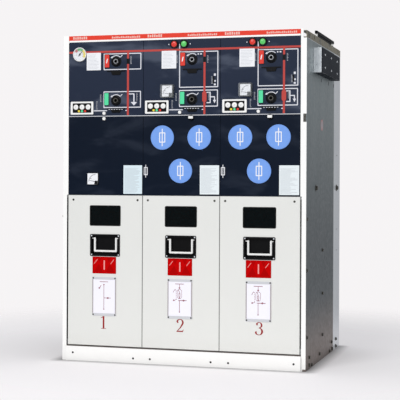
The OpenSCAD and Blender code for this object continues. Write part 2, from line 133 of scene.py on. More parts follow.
# %% Lamps, floor and surround
PALE = (0.925, 0.905, 0.913, 1)
DIM = (0.46, 0.465, 0.48, 1)
FLOOR_REACH = 40


def softbox(name, place, aim, size, watts):
    """A square area lamp that points at a spot on the cabinet."""
    data = bpy.data.lights.new(name, "AREA")
    data.size, data.energy = size, watts
    lamp = bpy.data.objects.new(name, data)
    lamp.location = place
    lamp.rotation_euler = (Vector(aim) - Vector(place)).to_track_quat("-Z", "Y").to_euler()
    bpy.context.scene.collection.objects.link(lamp)


softbox("key_lamp", (-1.2, -5.2, 3.6), (0, 0, 0.7), 2.6, 132)
softbox("fill_lamp", (2.0, -5.2, 0.9), (0, 0, 0.5), 2.4, 56)
softbox("side_lamp", (5.0, 0.8, 2.2), (0.5, 0, 0.7), 2.0, 14)
softbox("top_lamp", (0.2, 0.5, 4.2), (0, 0, 1.3), 2.4, 20)

world = bpy.data.worlds.new("surround")
bpy.context.scene.world = world
world.use_nodes = True
nodes, join = world.node_tree.nodes, world.node_tree.links.new
sky = nodes["Background"]
sky.inputs["Color"].default_value = DIM
seen = nodes.new("ShaderNodeBackground")
seen.inputs["Color"].default_value = PALE
chooser = nodes.new("ShaderNodeMixShader")
join(nodes.new("ShaderNodeLightPath").outputs["Is Camera Ray"], chooser.inputs[0])
join(sky.outputs[0], chooser.inputs[1])
join(seen.outputs[0], chooser.inputs[2])
join(chooser.outputs[0], nodes["World Output"].inputs["Surface"])

floor_mesh = bpy.data.meshes.new("floor")
corners = [(x * FLOOR_REACH, y * FLOOR_REACH, 0) for x, y in ((-1, -1), (1, -1), (1, 1), (-1, 1))]
floor_mesh.from_pydata(corners, [], [(0, 1, 2, 3)])
floor = bpy.data.objects.new("floor", floor_mesh)
bpy.context.scene.collection.objects.link(floor)

# %% [markdown]
# ## Writing shader maths as sums
#
# A procedural finish is a sum of patterns. Blender writes each sum as a chain of Math nodes, which is slow to read,
# so a small class wraps a socket and turns + - * / into those nodes. `Graph.node` adds any other node: first its
# settings, then the values or links of its sockets. The same class serves Geometry Nodes further down.


# %% Sockets that can be added and multiplied
class Link:
    """One output of a node. Arithmetic on it adds the Math node that does the same."""

    def __init__(self, graph, socket):
        self.graph, self.socket = graph, socket

    def math(self, operation, *values):
        return self.graph.node("ShaderNodeMath", {"operation": operation}, *values)

    def __add__(self, other):
        return self.math("ADD", self, other)

    def __sub__(self, other):
        return self.math("SUBTRACT", self, other)

    def __rsub__(self, other):
        return self.math("SUBTRACT", other, self)

    def __mul__(self, other):
        return self.math("MULTIPLY", self, other)

    def __truediv__(self, other):
        return self.math("DIVIDE", self, other)

    __radd__, __rmul__ = __add__, __mul__

    def between(self, start, end):
        """0 below start, 1 above end, and a smooth step from one to the other."""
        values = (self, start, end, 0.0, 1.0)
        return self.graph.node("ShaderNodeMapRange", {"interpolation_type": "SMOOTHSTEP"}, *values)


class Graph:
    """A node tree that grows by one call for each node."""

    def __init__(self, tree):
        self.tree = tree

    def join(self, value, socket):
        if isinstance(value, Link):
            self.tree.links.new(value.socket, socket)
        elif isinstance(value, list) and isinstance(value[0], Link):
            for link in value:
                self.tree.links.new(link.socket, socket)
        elif value is not None:
            socket.default_value = value

    def node(self, kind, settings=None, *values, output=0, **named):
        made = self.tree.nodes.new(kind)
        for key, value in (settings or {}).items():
            if key == "stops":
                for index, (place, colour) in enumerate(value):
                    if index > 1:
                        made.color_ramp.elements.new(place)
                    made.color_ramp.elements[index].position = place
                    made.color_ramp.elements[index].color = colour
            else:
                setattr(made, key, value)
        for index, value in enumerate(values):
            self.join(value, made.inputs[index])
        for key, value in named.items():
            self.join(value, made.inputs[key.replace("_", " ")])
        return Link(self, made.outputs[output])


class Finish(Graph):
    """A Principled material. Fixed values go on the shader's own sockets, patterns come through links."""

    def __init__(self, name, colour, roughness, **fixed):
        self.material = bpy.data.materials.new(name)
        self.material.use_nodes = True
        super().__init__(self.material.node_tree)
        self.shader = self.tree.nodes["Principled BSDF"]
        self.colour = (*colour, 1)
        self.put(Base_Color=self.colour, Roughness=roughness, **fixed)
        self.place = self.node("ShaderNodeTexCoord", None, output="Object")

    def put(self, **named):
        for key, value in named.items():
            self.join(value, self.shader.inputs[key.replace("_", " ")])

    def noise(self, scale, detail=2.0, stretch=None, distortion=0.0):
        """Clouds from 0 to 1. scale is in clouds a metre, and stretch squeezes them along X, Y and Z."""
        where = self.place
        if stretch:
            where = self.node("ShaderNodeMapping", None, Vector=where, Scale=stretch)
        kind = "ShaderNodeTexNoise"
        return self.node(kind, None, Vector=where, Scale=scale, Detail=detail, Distortion=distortion)

    def mix(self, share, first, second, blend="MIX"):
        """A colour between two, as a link that the share drives."""
        made = self.tree.nodes.new("ShaderNodeMix")
        made.data_type, made.blend_type = "RGBA", blend
        for value, index in ((share, 0), (first, 6), (second, 7)):
            self.join(value, made.inputs[index])
        return Link(self, made.outputs[2])

    def relief(self, height, depth, strength=1.0):
        """Fine bumps that are too small to model. depth is in metres."""
        bump = self.node("ShaderNodeBump", None, Strength=strength, Distance=depth, Height=height)
        self.put(Normal=bump)

    def height(self):
        """How high a point is above the floor, in metres."""
        return self.node("ShaderNodeSeparateXYZ", None, self.place, output="Z")


def shade(colour, factor):
    """The same colour, lighter or darker, with its alpha."""
    return (*[min(1, channel * factor) for channel in colour[:3]], 1)


# %% [markdown]
# ## Finishes
#
# The covers and trims are powder coated. Under a raking light such paint shows a fine orange peel, and the lowest
# few centimetres of a floor-standing cabinet pick up dust. Both come from noise on Object coordinates, so that the
# pattern has a real size and runs on from one sheet to the next.


# %% Powder coat
DUST = (0.55, 0.52, 0.46, 1)


def powder_coat(name, colour, roughness, dust=0.06, shine=0.5):
    finish = Finish(name, colour, roughness, Specular_IOR_Level=shine)
    clouds = finish.noise(2.5, 3)
    peel = finish.noise(900, 2)
    mottled = finish.mix(clouds * 0.9, shade(colour, 0.965), shade(colour, 1.01))
    low_down = 1 - finish.height().between(0.0, 0.14)
    dirt = low_down * finish.noise(18, 5) * dust * 6
    finish.put(Base_Color=finish.mix(dirt, mottled, DUST))
    finish.put(Roughness=finish.noise(6, 4) * 0.14 + (roughness - 0.07) + dirt * 0.4)
    finish.relief(peel, 0.00006, 0.5)
    return finish.material


white_paint = powder_coat("white_paint", (0.975, 0.970, 0.950), 0.42, 0.015)
cover_paint = powder_coat("cover_paint", (0.77, 0.775, 0.745), 0.40)
black_paint = powder_coat("black_paint", (0.006, 0.0065, 0.008), 0.45, 0.0, 0.03)
busbar_paint = powder_coat("busbar_paint", (0.0085, 0.0125, 0.0200), 0.5, 0.0, 0.04)

# %% [markdown]
# Hot-dip galvanised sheet shows spangle: flat zinc crystals, a centimetre or so across, each a little lighter or
# darker and a little rougher than the next. A Voronoi pattern gives the crystals, and its cell colour is a random
# number for each of them. The rolled zinc of the rear strips is brighter, with fine drawn lines along the sheet. The
# yellow passivated rails on the top have mottled olive and brown films.


# %% Zinc
def galvanised_steel():
    finish = Finish("galvanised_steel", (0.33, 0.36, 0.37), 0.45, Metallic=0.55)
    cells = finish.node("ShaderNodeTexVoronoi", None, Vector=finish.place, Scale=75.0, output="Color")
    crystal = finish.node("ShaderNodeSeparateColor", None, cells)
    haze = finish.noise(2.2, 4, (1, 1, 0.35))
    runs = finish.noise(16, 4, (1, 1, 0.10))
    tone = crystal * 0.16 + haze * 0.45 + runs * 0.55 - 0.08
    # Painted shade: the zinc is darker towards the bottom and lighter towards the top, for the way the light falls on
    # the side plates.
    painted_height_shade = finish.mix(finish.height().between(0.35, 1.30), (0.052, 0.062, 0.068, 1), (0.160, 0.190, 0.198, 1))
    light = finish.mix(tone, painted_height_shade, finish.mix(1.0, painted_height_shade, (1.75, 1.75, 1.75, 1), "MULTIPLY"))
    warm = 1 - finish.height().between(0.03, 0.30)
    finish.put(Base_Color=finish.mix(warm * 0.8, light, (0.205, 0.160, 0.140, 1)))
    finish.put(Roughness=crystal * 0.12 + haze * 0.16 + 0.32)
    finish.relief(finish.noise(160, 3), 0.0001, 0.35)
    return finish.material


def bright_zinc():
    finish = Finish("bright_zinc", (0.66, 0.69, 0.72), 0.3, Metallic=0.75)
    drawn = finish.noise(28, 4, (1, 22, 1))
    haze = finish.noise(5, 3)
    tone = drawn * 0.55 + haze * 0.45
    finish.put(Base_Color=finish.mix(tone, (0.50, 0.53, 0.56, 1), (0.86, 0.89, 0.92, 1)))
    finish.put(Roughness=drawn * 0.18 + 0.22)
    finish.relief(drawn, 0.00008, 0.3)
    return finish.material


def passivated_steel(name, dark, mid, light, scale):
    finish = Finish(name, mid, 0.4, Metallic=0.6)
    film = finish.noise(scale, 5, None, 0.6)
    stops = [(0.34, (*dark, 1)), (0.66, (*light, 1)), (0.5, (*mid, 1))]
    finish.put(Base_Color=finish.node("ShaderNodeValToRGB", {"stops": stops}, film))
    finish.put(Roughness=finish.noise(60, 3) * 0.25 + 0.28)
    return finish.material


galvanised = galvanised_steel()
zinc = bright_zinc()
passivated = passivated_steel("passivated_steel", (0.055, 0.050, 0.030), (0.19, 0.165, 0.10), (0.42, 0.39, 0.29), 34)
dark_steel = passivated_steel("dark_steel", (0.035, 0.034, 0.030), (0.075, 0.072, 0.062), (0.16, 0.155, 0.14), 90)

# %% [markdown]
# The operating panels carry a printed plastic film: very dark blue with a soft gloss. Up close it is never one flat
# colour, so wide clouds lift it slightly and fine scuffs break the gloss. The upper film has faded to a greyer blue
# than the lower one, and the step between them follows the seam at the panels' height.


# %% Printed film
def panel_film():
    finish = Finish("navy_panel", (0.012, 0.018, 0.032), 0.3, Specular_IOR_Level=0.08)
    upper = finish.height().between(upper_z * MM - 0.002, upper_z * MM - 0.001)
    base = finish.mix(upper, (0.0022, 0.0062, 0.0165, 1), (0.0170, 0.0250, 0.0490, 1))
    smears = finish.noise(6.5, 3, (0.7, 1, 1.9), 0.4).between(0.50, 0.70)
    lifted = finish.mix(smears * (upper * 0.60 + 0.13), base, (0.085, 0.102, 0.145, 1))
    weave = finish.noise(420, 2)
    finish.put(Base_Color=finish.mix(weave * 0.10, lifted, (0.030, 0.038, 0.055, 1)))
    finish.put(Roughness=finish.noise(30, 4) * 0.16 + 0.26)
    finish.relief(weave, 0.00005, 0.25)
    return finish.material


navy_film = panel_film()

# %% [markdown]
# Moulded plastics differ in gloss more than in pattern, so one function makes them all, with a fine grain and a
# slight cloud. Clear and smoked panes take their look from Alpha: the render and the exported model then agree on
# how much shows through.


# %% Plastics, resin and panes
def moulded(name, colour, roughness=0.38, grain=0.12, **fixed):
    finish = Finish(name, colour, roughness, **fixed)
    clouds = finish.noise(45, 3)
    finish.put(Base_Color=finish.mix(clouds, shade(colour, 0.92), shade(colour, 1.06)))
    finish.put(Roughness=clouds * grain + (roughness - grain / 2))
    finish.relief(finish.noise(1600, 2), 0.00003, 0.3)
    return finish.material


def pane(name, colour, alpha, roughness, **fixed):
    finish = Finish(name, colour, roughness, **fixed)
    smudge = finish.noise(22, 4)
    finish.put(Alpha=smudge * 0.06 + (alpha - 0.03))
    finish.put(Roughness=smudge * 0.05 + roughness)
    finish.material.surface_render_method = "BLENDED"
    return finish.material


black_plastic = moulded("black_plastic", (0.0025, 0.0025, 0.003), 0.36, Specular_IOR_Level=0.12)
white_plastic = moulded("white_plastic", (0.90, 0.90, 0.88), 0.32)
blue_plastic = moulded("blue_plastic", (0.185, 0.365, 0.83), 0.42, Specular_IOR_Level=0.2)
resin = moulded("moulded_resin", (0.10, 0.085, 0.10), 0.3)
insulator = moulded("white_insulator", (0.86, 0.86, 0.84), 0.25)
# The seam strips are dark grey as painted shade in the gaps between the covers.
seam_shade_grey = moulded("seam_profile", (0.12, 0.12, 0.115), 0.6, Specular_IOR_Level=0.2)
rubber = moulded("gasket_rubber", (0.003, 0.003, 0.003), 0.6, Specular_IOR_Level=0.15)
chrome = moulded("socket_chrome", (0.42, 0.43, 0.45), 0.22, 0.05, Metallic=1.0)
red_lens = moulded("red_button", (0.72, 0.040, 0.028), 0.2, 0.05, Specular_IOR_Level=0.4)
green_lens = moulded("green_button", (0.105, 0.58, 0.13), 0.2, 0.05, Specular_IOR_Level=0.4)
smoked = pane("smoked_pane", (0.0012, 0.003, 0.0035), 0.79, 0.06, Specular_IOR_Level=0.12)
clear = pane("clear_plastic", (0.86, 0.90, 0.92), 0.09, 0.08, Specular_IOR_Level=0.35)

# %% [markdown]
# Screen-printed ink lies on the film as a flat, slightly matt layer. Each ink has a little wear: tiny specks where
# the colour underneath dulls it.


# %% Inks and labels
def ink(name, colour, roughness=0.5, shine=0.15):
    finish = Finish(name, colour, roughness, Specular_IOR_Level=shine)
    specks = finish.noise(700, 3).between(0.62, 0.80)
    finish.put(Base_Color=finish.mix(specks * 0.25, shade(colour, 1), shade(colour, 0.72)))
    finish.put(Roughness=finish.noise(90, 2) * 0.15 + (roughness - 0.07))
    return finish.material


white_ink = ink("white_ink", (0.74, 0.75, 0.80))
red_ink = ink("red_ink", (0.50, 0.062, 0.052))
header_ink = ink("header_ink", (0.76, 0.046, 0.022), 0.35)
header_white = ink("header_white", (0.86, 0.52, 0.46))
black_ink = ink("black_ink", (0.006, 0.006, 0.007))
grey_ink = ink("grey_ink", (0.36, 0.37, 0.40))
print_ink = ink("print_ink", (0.45, 0.47, 0.50))
pale_ink = ink("pale_ink", (0.60, 0.61, 0.64))
holder_ink = ink("holder_ink", (0.38, 0.34, 0.36))
sticker_ink = ink("sticker_ink", (0.60, 0.27, 0.27))
mauve_ink = ink("mauve_ink", (0.30, 0.095, 0.13))
number_ink = ink("number_ink", (0.30, 0.012, 0.014))
flag_red = ink("flag_red", (0.72, 0.050, 0.035), 0.4)
flag_green = ink("flag_green", (0.10, 0.72, 0.36), 0.4)
lamp_yellow = ink("lamp_yellow", (0.82, 0.66, 0.06), 0.3)
dial_green = ink("dial_green", (0.04, 0.42, 0.07), 0.4)
plate_white = ink("plate_white", (0.86, 0.87, 0.90), 0.35)
sheet_blue = ink("sheet_blue", (0.70, 0.82, 0.87), 0.45)
sheet_white = ink("sheet_white", (0.80, 0.86, 0.88), 0.45)
sheet_lilac = ink("sheet_lilac", (0.90, 0.89, 0.96), 0.4)
label_red = ink("label_red", (0.52, 0.0008, 0.0010), 0.3, 0.03)
label_dark = ink("label_dark", (0.40, 0.0008, 0.0010), 0.3, 0.03)
label_pink = ink("label_pink", (0.85, 0.34, 0.32), 0.35)


FOOTPRINT = (0.51, 0.375, 0.0)
FADE_FROM, FADE_TO = 0.9, 2.2


def floor_finish():
    """A pale floor that fades out around the cabinet, and a painted contact shadow that darkens it right under the
    cabinet.
    """
    finish = Finish("studio_floor", PALE[:3], 0.9, Specular_IOR_Level=0.0, Emission_Strength=0.16)

    def vector(operation, *values, **named):
        return finish.node("ShaderNodeVectorMath", {"operation": operation}, *values, **named)

    reach = vector("LENGTH", finish.place, output="Value")
    finish.put(Alpha=1 - reach.between(FADE_FROM, FADE_TO))
    # Painted contact shadow: the floor's colour and glow darken close to the cabinet's footprint.
    out = vector("SUBTRACT", vector("ABSOLUTE", finish.place), FOOTPRINT)
    gap = vector("LENGTH", vector("MAXIMUM", out, (0.0, 0.0, 0.0)), output="Value")
    tone = finish.mix(gap.between(-0.02, 0.07), shade(PALE, 0.30), PALE)
    finish.put(Base_Color=tone, Emission_Color=tone)
    return finish.material


floor_mesh.materials.append(floor_finish())

# %% [markdown]
# ## The CAD nodes
#
# Folded sheet metal has no sharp edges: each fold has a radius of about the sheet's thickness, and it is that radius
# which catches a thin line of light. The CAD solids stay as they are. Weld joins their loose triangles, and Bevel
# rounds the edges; both are modifiers, so the frame's own meshes aren't touched. Weighted Normal keeps the large
# faces flat next to the small rounded ones.

# %% Finishes and rounded edges on the frame
SHELL = {
    "galvanised_steel": (galvanised, 0.5, ["base_frame", "floor_plate", "side_plates", "bay_partitions"]),
    "bright_zinc": (zinc, 0.5, ["rear_corners", "rear_panels", "cross_rails", "top_plate"]
                    + ["busbar_brackets", "mechanism_frames"]),
    "stainless_tank": (zinc, 0.0, ["gas_tank"]),
    "moulded_resin": (resin, 0.0, ["cable_bushings"]),
    "white_paint": (white_paint, 0.7, ["kick_panel", "corner_trim_left", "corner_trim_right", "header_strip"]),
    "passivated_steel": (passivated, 0.6, ["top_rails"]),
    "black_paint": (black_paint, 0.8, ["top_guard_bars", "busbar_covers"]),
    "white_insulator": (insulator, 0.8, ["top_spacers"]),
    "navy_panel": (navy_film, 0.6, ["upper_panel_1", "upper_panel_2", "upper_panel_3", "lower_panels"]),
    "cover_paint": (cover_paint, 1.0, ["cable_cover_1", "cable_cover_2", "cable_cover_3"]),
    "smoked_pane": (smoked, 0.0, ["window_panes"]),
    "black_plastic": (black_plastic, 0.7, ["handle_dishes", "meter_bases", "voltage_indicators"]
                      + ["button_bezels", "padlock_slides"]
                      + [f"{kind}_socket_{bay}" for kind in ("switch", "earth") for bay in BAYS]),
    "white_plastic": (white_plastic, 0.5, ["diagram_holders", "gauge_case", "release_knobs"]
                      + [f"bail_{bay}" for bay in BAYS]),
    "clear_plastic": (clear, 0.8, ["meter_covers"]),
    "blue_plastic": (blue_plastic, 0.9, ["fuse_covers"]),
    "red_button": (red_lens, 0.0, [f"button_red_{bay}" for bay in FUSED_BAYS]),
    "green_button": (green_lens, 0.0, [f"button_green_{bay}" for bay in FUSED_BAYS]),
}


def round_edges(piece, width, segments=2):
    """Joins the loose faces of a piece and rounds its sharp edges. width is in millimetres."""
    weld = piece.modifiers.new("weld", "WELD")
    weld.merge_threshold = 0.000005
    flat = piece.modifiers.new("flat", "DECIMATE")
    flat.decimate_type = "DISSOLVE"
    flat.angle_limit = math.radians(0.3)
    bevel = piece.modifiers.new("bevel", "BEVEL")
    bevel.width = width * MM
    bevel.segments = segments
    bevel.limit_method = "ANGLE"
    bevel.angle_limit = math.radians(40)
    normals = piece.modifiers.new("normals", "WEIGHTED_NORMAL")
    normals.keep_sharp = True


for slot, (material, fold, nodes) in SHELL.items():
    for node in nodes:
        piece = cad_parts[node]
        piece.data.materials.clear()
        piece.data.materials.append(material)
        if fold:
            round_edges(piece, fold)
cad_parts["busbar_covers"].data.materials[0] = busbar_paint
print("dressed nodes:", sum(len(entry[2]) for entry in SHELL.values()))

# %% [markdown]
# ## Thin raised shapes
#
# Print, labels, flags and dials are all flat shapes a fraction of a millimetre thick. As meshes they stay crisp at
# any distance, which a painted texture would not. `Relief` gathers such shapes on one face of the cabinet: a plate
# from an outline, and a band between two matched outlines, which makes frames, rings and arcs. Every shape is a
# closed solid, and all shapes of one colour become one mesh.


# %% Relief
def facing_front(face):
    """Places (across, up, proud) in front of a face of the cabinet."""
    return lambda across, up, proud: Vector((across, face - proud, up)) * MM


def facing_side(side):
    """Places (back from the front face, up, proud) on the right side, 1, or the left side, -1."""
    return lambda back, up, proud: Vector((side * (side_x + proud), cover_face + back, up)) * MM


def arc_points(x, z, radius, start, end, steps=24):
    """Points along an arc, from one angle to another in degrees, anticlockwise from the right."""
    angles = [math.radians(start + (end - start) * step / steps) for step in range(steps + 1)]
    return [(x + radius * math.cos(angle), z + radius * math.sin(angle)) for angle in angles]


def on_circle(x, z, radius, angle):
    """The point of a circle at one angle, in degrees."""
    return arc_points(x, z, radius, angle, angle, 1)[0]


def around(x, z, half_wide, half_tall):
    """A box (x0, x1, z0, z1) from its middle."""
    return x - half_wide, x + half_wide, z - half_tall, z + half_tall


def moved(box, x, z):
    """A box (x0, x1, z0, z1), moved by (x, z)."""
    return box[0] + x, box[1] + x, box[2] + z, box[3] + z


def rounded_outline(x0, x1, z0, z1, radius, steps=5):
    """A rectangle with round corners, anticlockwise."""
    centres = [(x1 - radius, z0 + radius, 270), (x1 - radius, z1 - radius, 0)]
    centres += [(x0 + radius, z1 - radius, 90), (x0 + radius, z0 + radius, 180)]
    return [point for x, z, angle in centres for point in arc_points(x, z, radius, angle, angle + 90, steps)]


class Relief:
    """Flat solids on one face of the cabinet, gathered into one mesh."""

    def __init__(self, face, proud=0.4, sunk=0.2):
        """face is the depth of a face that looks to the front, or a function that places points on another."""
        self.place = face if callable(face) else facing_front(face)
        self.proud, self.sunk = proud, sunk
        self.solids = bmesh.new()

    def ring(self, points, proud):
        return [self.solids.verts.new(self.place(across, up, proud)) for across, up in points]

    def walls(self, first, second, closed):
        count = len(first)
        for index in range(count if closed else count - 1):
            after = (index + 1) % count
            self.solids.faces.new((first[index], first[after], second[after], second[index]))

    def plate(self, points, proud=None):
        """A solid from its outline."""
        front = self.ring(points, self.proud if proud is None else proud)
        back = self.ring(points, -self.sunk)
        self.walls(front, back, True)
        self.solids.faces.new(front)
        self.solids.faces.new(reversed(back))

    def band(self, inner, outer, closed=False, proud=None):
        """A solid between two outlines with as many points each."""
        levels = (self.proud if proud is None else proud, -self.sunk)
        rings = [self.ring(points, level) for level in levels for points in (inner, outer)]
        front_in, front_out, back_in, back_out = rings
        self.walls(front_in, front_out, closed)
        self.walls(back_in, back_out, closed)
        self.walls(front_in, back_in, closed)
        self.walls(front_out, back_out, closed)
        if not closed:
            for end in (0, -1):
                self.solids.faces.new((front_in[end], front_out[end], back_out[end], back_in[end]))

    def bar(self, x0, x1, z0, z1, proud=None):
        self.plate([(x0, z0), (x1, z0), (x1, z1), (x0, z1)], proud)

    def panel(self, x0, x1, z0, z1, radius, proud=None):
        self.plate(rounded_outline(x0, x1, z0, z1, radius), proud)

    def disc(self, x, z, radius, proud=None):
        self.plate(arc_points(x, z, radius, 0, 360, 40)[:-1], proud)

    def frame(self, x0, x1, z0, z1, line, radius=3.0, proud=None):
        """A rounded rectangle drawn with a line of even width, measured to the line's outside."""
        inner_radius = max(radius - line, 0.3)
        outer = rounded_outline(x0, x1, z0, z1, radius)
        inner = rounded_outline(x0 + line, x1 - line, z0 + line, z1 - line, inner_radius)
        self.band(inner, outer, True, proud)

    def arc(self, x, z, radius, start, end, line, proud=None):
        inner = arc_points(x, z, radius - line / 2, start, end)
        outer = arc_points(x, z, radius + line / 2, start, end)
        self.band(inner, outer, False, proud)

    def hoop(self, x, z, radius, line, proud=None):
        inner = arc_points(x, z, radius - line, 0, 360, 40)[:-1]
        outer = arc_points(x, z, radius, 0, 360, 40)[:-1]
        self.band(inner, outer, True, proud)

    def stroke(self, points, widths, proud=None):
        """A pen stroke along points, with its width at each of them."""
        inner, outer = [], []
        for index, (x, z) in enumerate(points):
            before, after = points[max(index - 1, 0)], points[min(index + 1, len(points) - 1)]
            along = Vector((after[0] - before[0], after[1] - before[1])).normalized()
            aside = Vector((-along.y, along.x)) * widths[index] / 2
            inner.append((x - aside.x, z - aside.y))
            outer.append((x + aside.x, z + aside.y))
        self.band(inner, outer, False, proud)

    def line(self, x0, z0, x1, z1, width, proud=None):
        self.stroke([(x0, z0), (x1, z1)], [width, width], proud)

    def arrow(self, x, z, width, drop, proud=None):
        """An arrow head that points down to z."""
        self.plate([(x, z), (x + width / 2, z + drop), (x - width / 2, z + drop)], proud)

    def done(self, name, material, slot=None, body="cabinet", bevel=0.0):
        bmesh.ops.recalc_face_normals(self.solids, faces=self.solids.faces)
        mesh = bpy.data.meshes.new(name)
        self.solids.to_mesh(mesh)
        self.solids.free()
        return as_piece(name, mesh, material, body, bevel)


def as_piece(name, mesh, material, body="cabinet", bevel=0.0):
    """Links a finished mesh as a piece that rides on a body of the frame."""
    if not mesh.materials:
        mesh.materials.append(material)
    piece = bpy.data.objects.new(name, mesh)
    bpy.context.scene.collection.objects.link(piece)
    if bevel:
        round_edges(piece, bevel)
    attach(piece, body)
    return piece


# %% [markdown]
# ## The printed circuit diagram
#
# The front shows its own wiring. A red busbar runs through all three bays, a red line drops from it in each bay, and
# white boxes mark the switch above and the earthing switch below. Lines that cross are cut where they meet instead
# of running over each other, so no two faces lie in one plane.

# %% Red lines
BUS_UP, BUS_LINE = 261.5, 8.0
DROP_X, DROP_LINE = 258.0, 8.5
mark_up = 209.5
mark_h = 22.0
capsule_z = (upper_z + 49.5, upper_z + 92.5)
bus_z = upper_z + BUS_UP
panels_left, panels_right = bay_x(1), bay_x(4)

red = Relief(panel_face, 0.5)
red.bar(panels_left, panels_right, bus_z - BUS_LINE / 2, bus_z + BUS_LINE / 2)
for bay in BAYS:
    x = bay_x(bay) + DROP_X
    sides = (x - DROP_LINE / 2, x + DROP_LINE / 2)
    mark_z = upper_z + mark_up
    red.bar(*sides, mark_z + mark_h, bus_z - BUS_LINE / 2)
    if bay in FUSED_BAYS:
        red.bar(*sides, capsule_z[1], mark_z)
        red.panel(x - 9, x + 9, *capsule_z, 8.0, 0.7)
        red.bar(*sides, upper_z + 1, capsule_z[0])
    else:
        red.bar(*sides, upper_z + 1, mark_z)
red.done("busbar_print", red_ink, "red_button")

header = Relief(cover_face, 0.4)
header.bar(panels_left, panels_right, header_z + 8.0, header_z + 26.4)
header.done("header_band", header_ink, "red_button")

seam = Relief(panel_face + 1.0, 1.4)
seam.bar(panels_left, panels_right, high("lower_panels").z + 0.1, upper_z - 0.1)
seam.done("panel_seam", pale_ink, "bright_zinc")

# %% White boxes, arrows and symbols
BOX_LEFT, BOX_RIGHT, BOX_LINE = 152.0, 315.0, 3.8
BOX_LOW = {"open": 186.5, "fused": 108.5}
ARROW_R = 24.0
RED_SIDES = (DROP_X - DROP_LINE / 2, DROP_X + DROP_LINE / 2)
CAPSULE_X, BRACKET_X = DROP_X + 9, DROP_X + 22
BOTH_BARS = [(109, 168, 18.8, 22.6), (247.5, RED_SIDES[0], 18.8, 22.6)]
OPEN_BARS = [(RED_SIDES[1], 286, 85.5, 89.5), (281.5, 286.5, 54, 85.5)]
FUSED_BARS = [(CAPSULE_X, BRACKET_X, 86.7, 90.5), (BRACKET_X, BRACKET_X + 4, 45.5, 90.5),
              (CAPSULE_X, BRACKET_X, 45.5, 49.3), (BRACKET_X + 4, 302, 68.5, 72.5), (298, 302, 58, 68.5),
              (297, 305, 154, 163), (297, 305, 130, 137), (297, 305, 116, 123)]
DOT_X, DOT_R = (108, 198), 2.2

white = Relief(panel_face, 0.35)
for bay in BAYS:
    x = bay_x(bay)
    fused = bay in FUSED_BAYS
    box_low = BOX_LOW["fused" if fused else "open"]
    white.frame(x + BOX_LEFT, x + BOX_RIGHT, upper_z + box_low, upper_z + 254, BOX_LINE)
    white.frame(x + BOX_LEFT, x + BOX_RIGHT - 1, upper_z + 31.5, upper_z + 99.5, BOX_LINE)
    for socket_z in (switch_z, earth_z):
        white.arc(x + socket_x, socket_z, ARROW_R, 46, 132, 3.2)
        tip_x, tip_z = on_circle(x + socket_x, socket_z, ARROW_R, 138)
        white.plate([(tip_x - 7, tip_z - 1), (tip_x + 3, tip_z - 3), (tip_x + 1, tip_z + 7)])
        end_x, end_z = on_circle(x + socket_x, socket_z, ARROW_R, 44)
        if fused and socket_z == switch_z:
            white.bar(x + socket_x + 22, x + socket_x + 28, socket_z + 19, socket_z + 24)
            white.bar(x + socket_x + 33, x + socket_x + 40, socket_z + 19, socket_z + 24)
        else:
            white.line(end_x, end_z, end_x + 9, end_z + 9, 3.0)
    for bar in BOTH_BARS + (FUSED_BARS if fused else OPEN_BARS):
        white.bar(*moved(bar, x, upper_z))
    if fused:
        white.bar(x + BOX_LEFT, x + BOX_LEFT + BOX_LINE, upper_z + 254, bus_z - BUS_LINE / 2)
        white.bar(x + BOX_LEFT, x + BOX_LEFT + BOX_LINE, bus_z + BUS_LINE / 2, button_z + 1)
        white.arrow(x + 300, upper_z + 44.5, 13, 13.5)
        for across in DOT_X:
            white.disc(x + across, button_z, DOT_R)
    else:
        white.arrow(x + 284, upper_z + 40.5, 27, 14)
white.done("diagram_print", white_ink, "white_plastic")

marks = Relief(panel_face, 1.0)
for bay in BAYS:
    x = bay_x(bay) + DROP_X
    marks.panel(x - 5.5, x + 5.5, upper_z + mark_up, upper_z + mark_up + mark_h, 2.0)
    if bay in FUSED_BAYS:
        marks.panel(bay_x(bay) + 293, bay_x(bay) + 299, upper_z + 124, upper_z + 152, 2.0)
marks.done("position_windows", black_plastic, "black_plastic", bevel=0.3)

# %% [markdown]
# Coloured flags beside the lever sockets say whether a switch is closed, red, or open, green. On the real panel they
# are small windows with a painted drum behind. Here each is a rounded plate with a dark frame and a plain mark.

# %% Flags
flags = {"closed": (166.8, 223.5, 19.5, 52.0, flag_red, "red_button"),
         "open": (165.0, 68.0, 18.0, 49.0, flag_green, "green_button")}
for state, (across, up, wide, tall, colour, slot) in flags.items():
    flag = Relief(panel_face, 1.2)
    surround = Relief(panel_face, 0.7)
    mark = Relief(panel_face - 1.2, 0.25)
    for bay in BAYS:
        x, z = bay_x(bay) + across, upper_z + up
        flag.panel(*around(x, z, wide / 2, tall / 2), 2.0)
        surround.panel(*around(x, z, wide / 2 + 2, tall / 2 + 2), 3.0)
        if state == "closed":
            mark.line(x - 2.5, z - 9, x + 1.0, z + 1, 4.0)
            mark.line(x - 1.0, z - 1, x + 2.5, z + 9, 4.0, 0.3)
    flag.done(f"flag_{state}", colour, slot, bevel=0.5)
    surround.done(f"flag_{state}_frame", black_plastic, "black_plastic", bevel=0.4)
    if state == "closed":
        mark.done("flag_closed_mark", plate_white, "white_plastic")

# %% [markdown]
# ## Turned parts
#
# Lenses, lamps, knobs and gauge glasses are bodies of revolution that face the front. One function spins a profile
# of (radius, distance out) around an axis that points out of the panel. Where the profile starts or ends at radius
# 0, the pole is closed with one vertex.


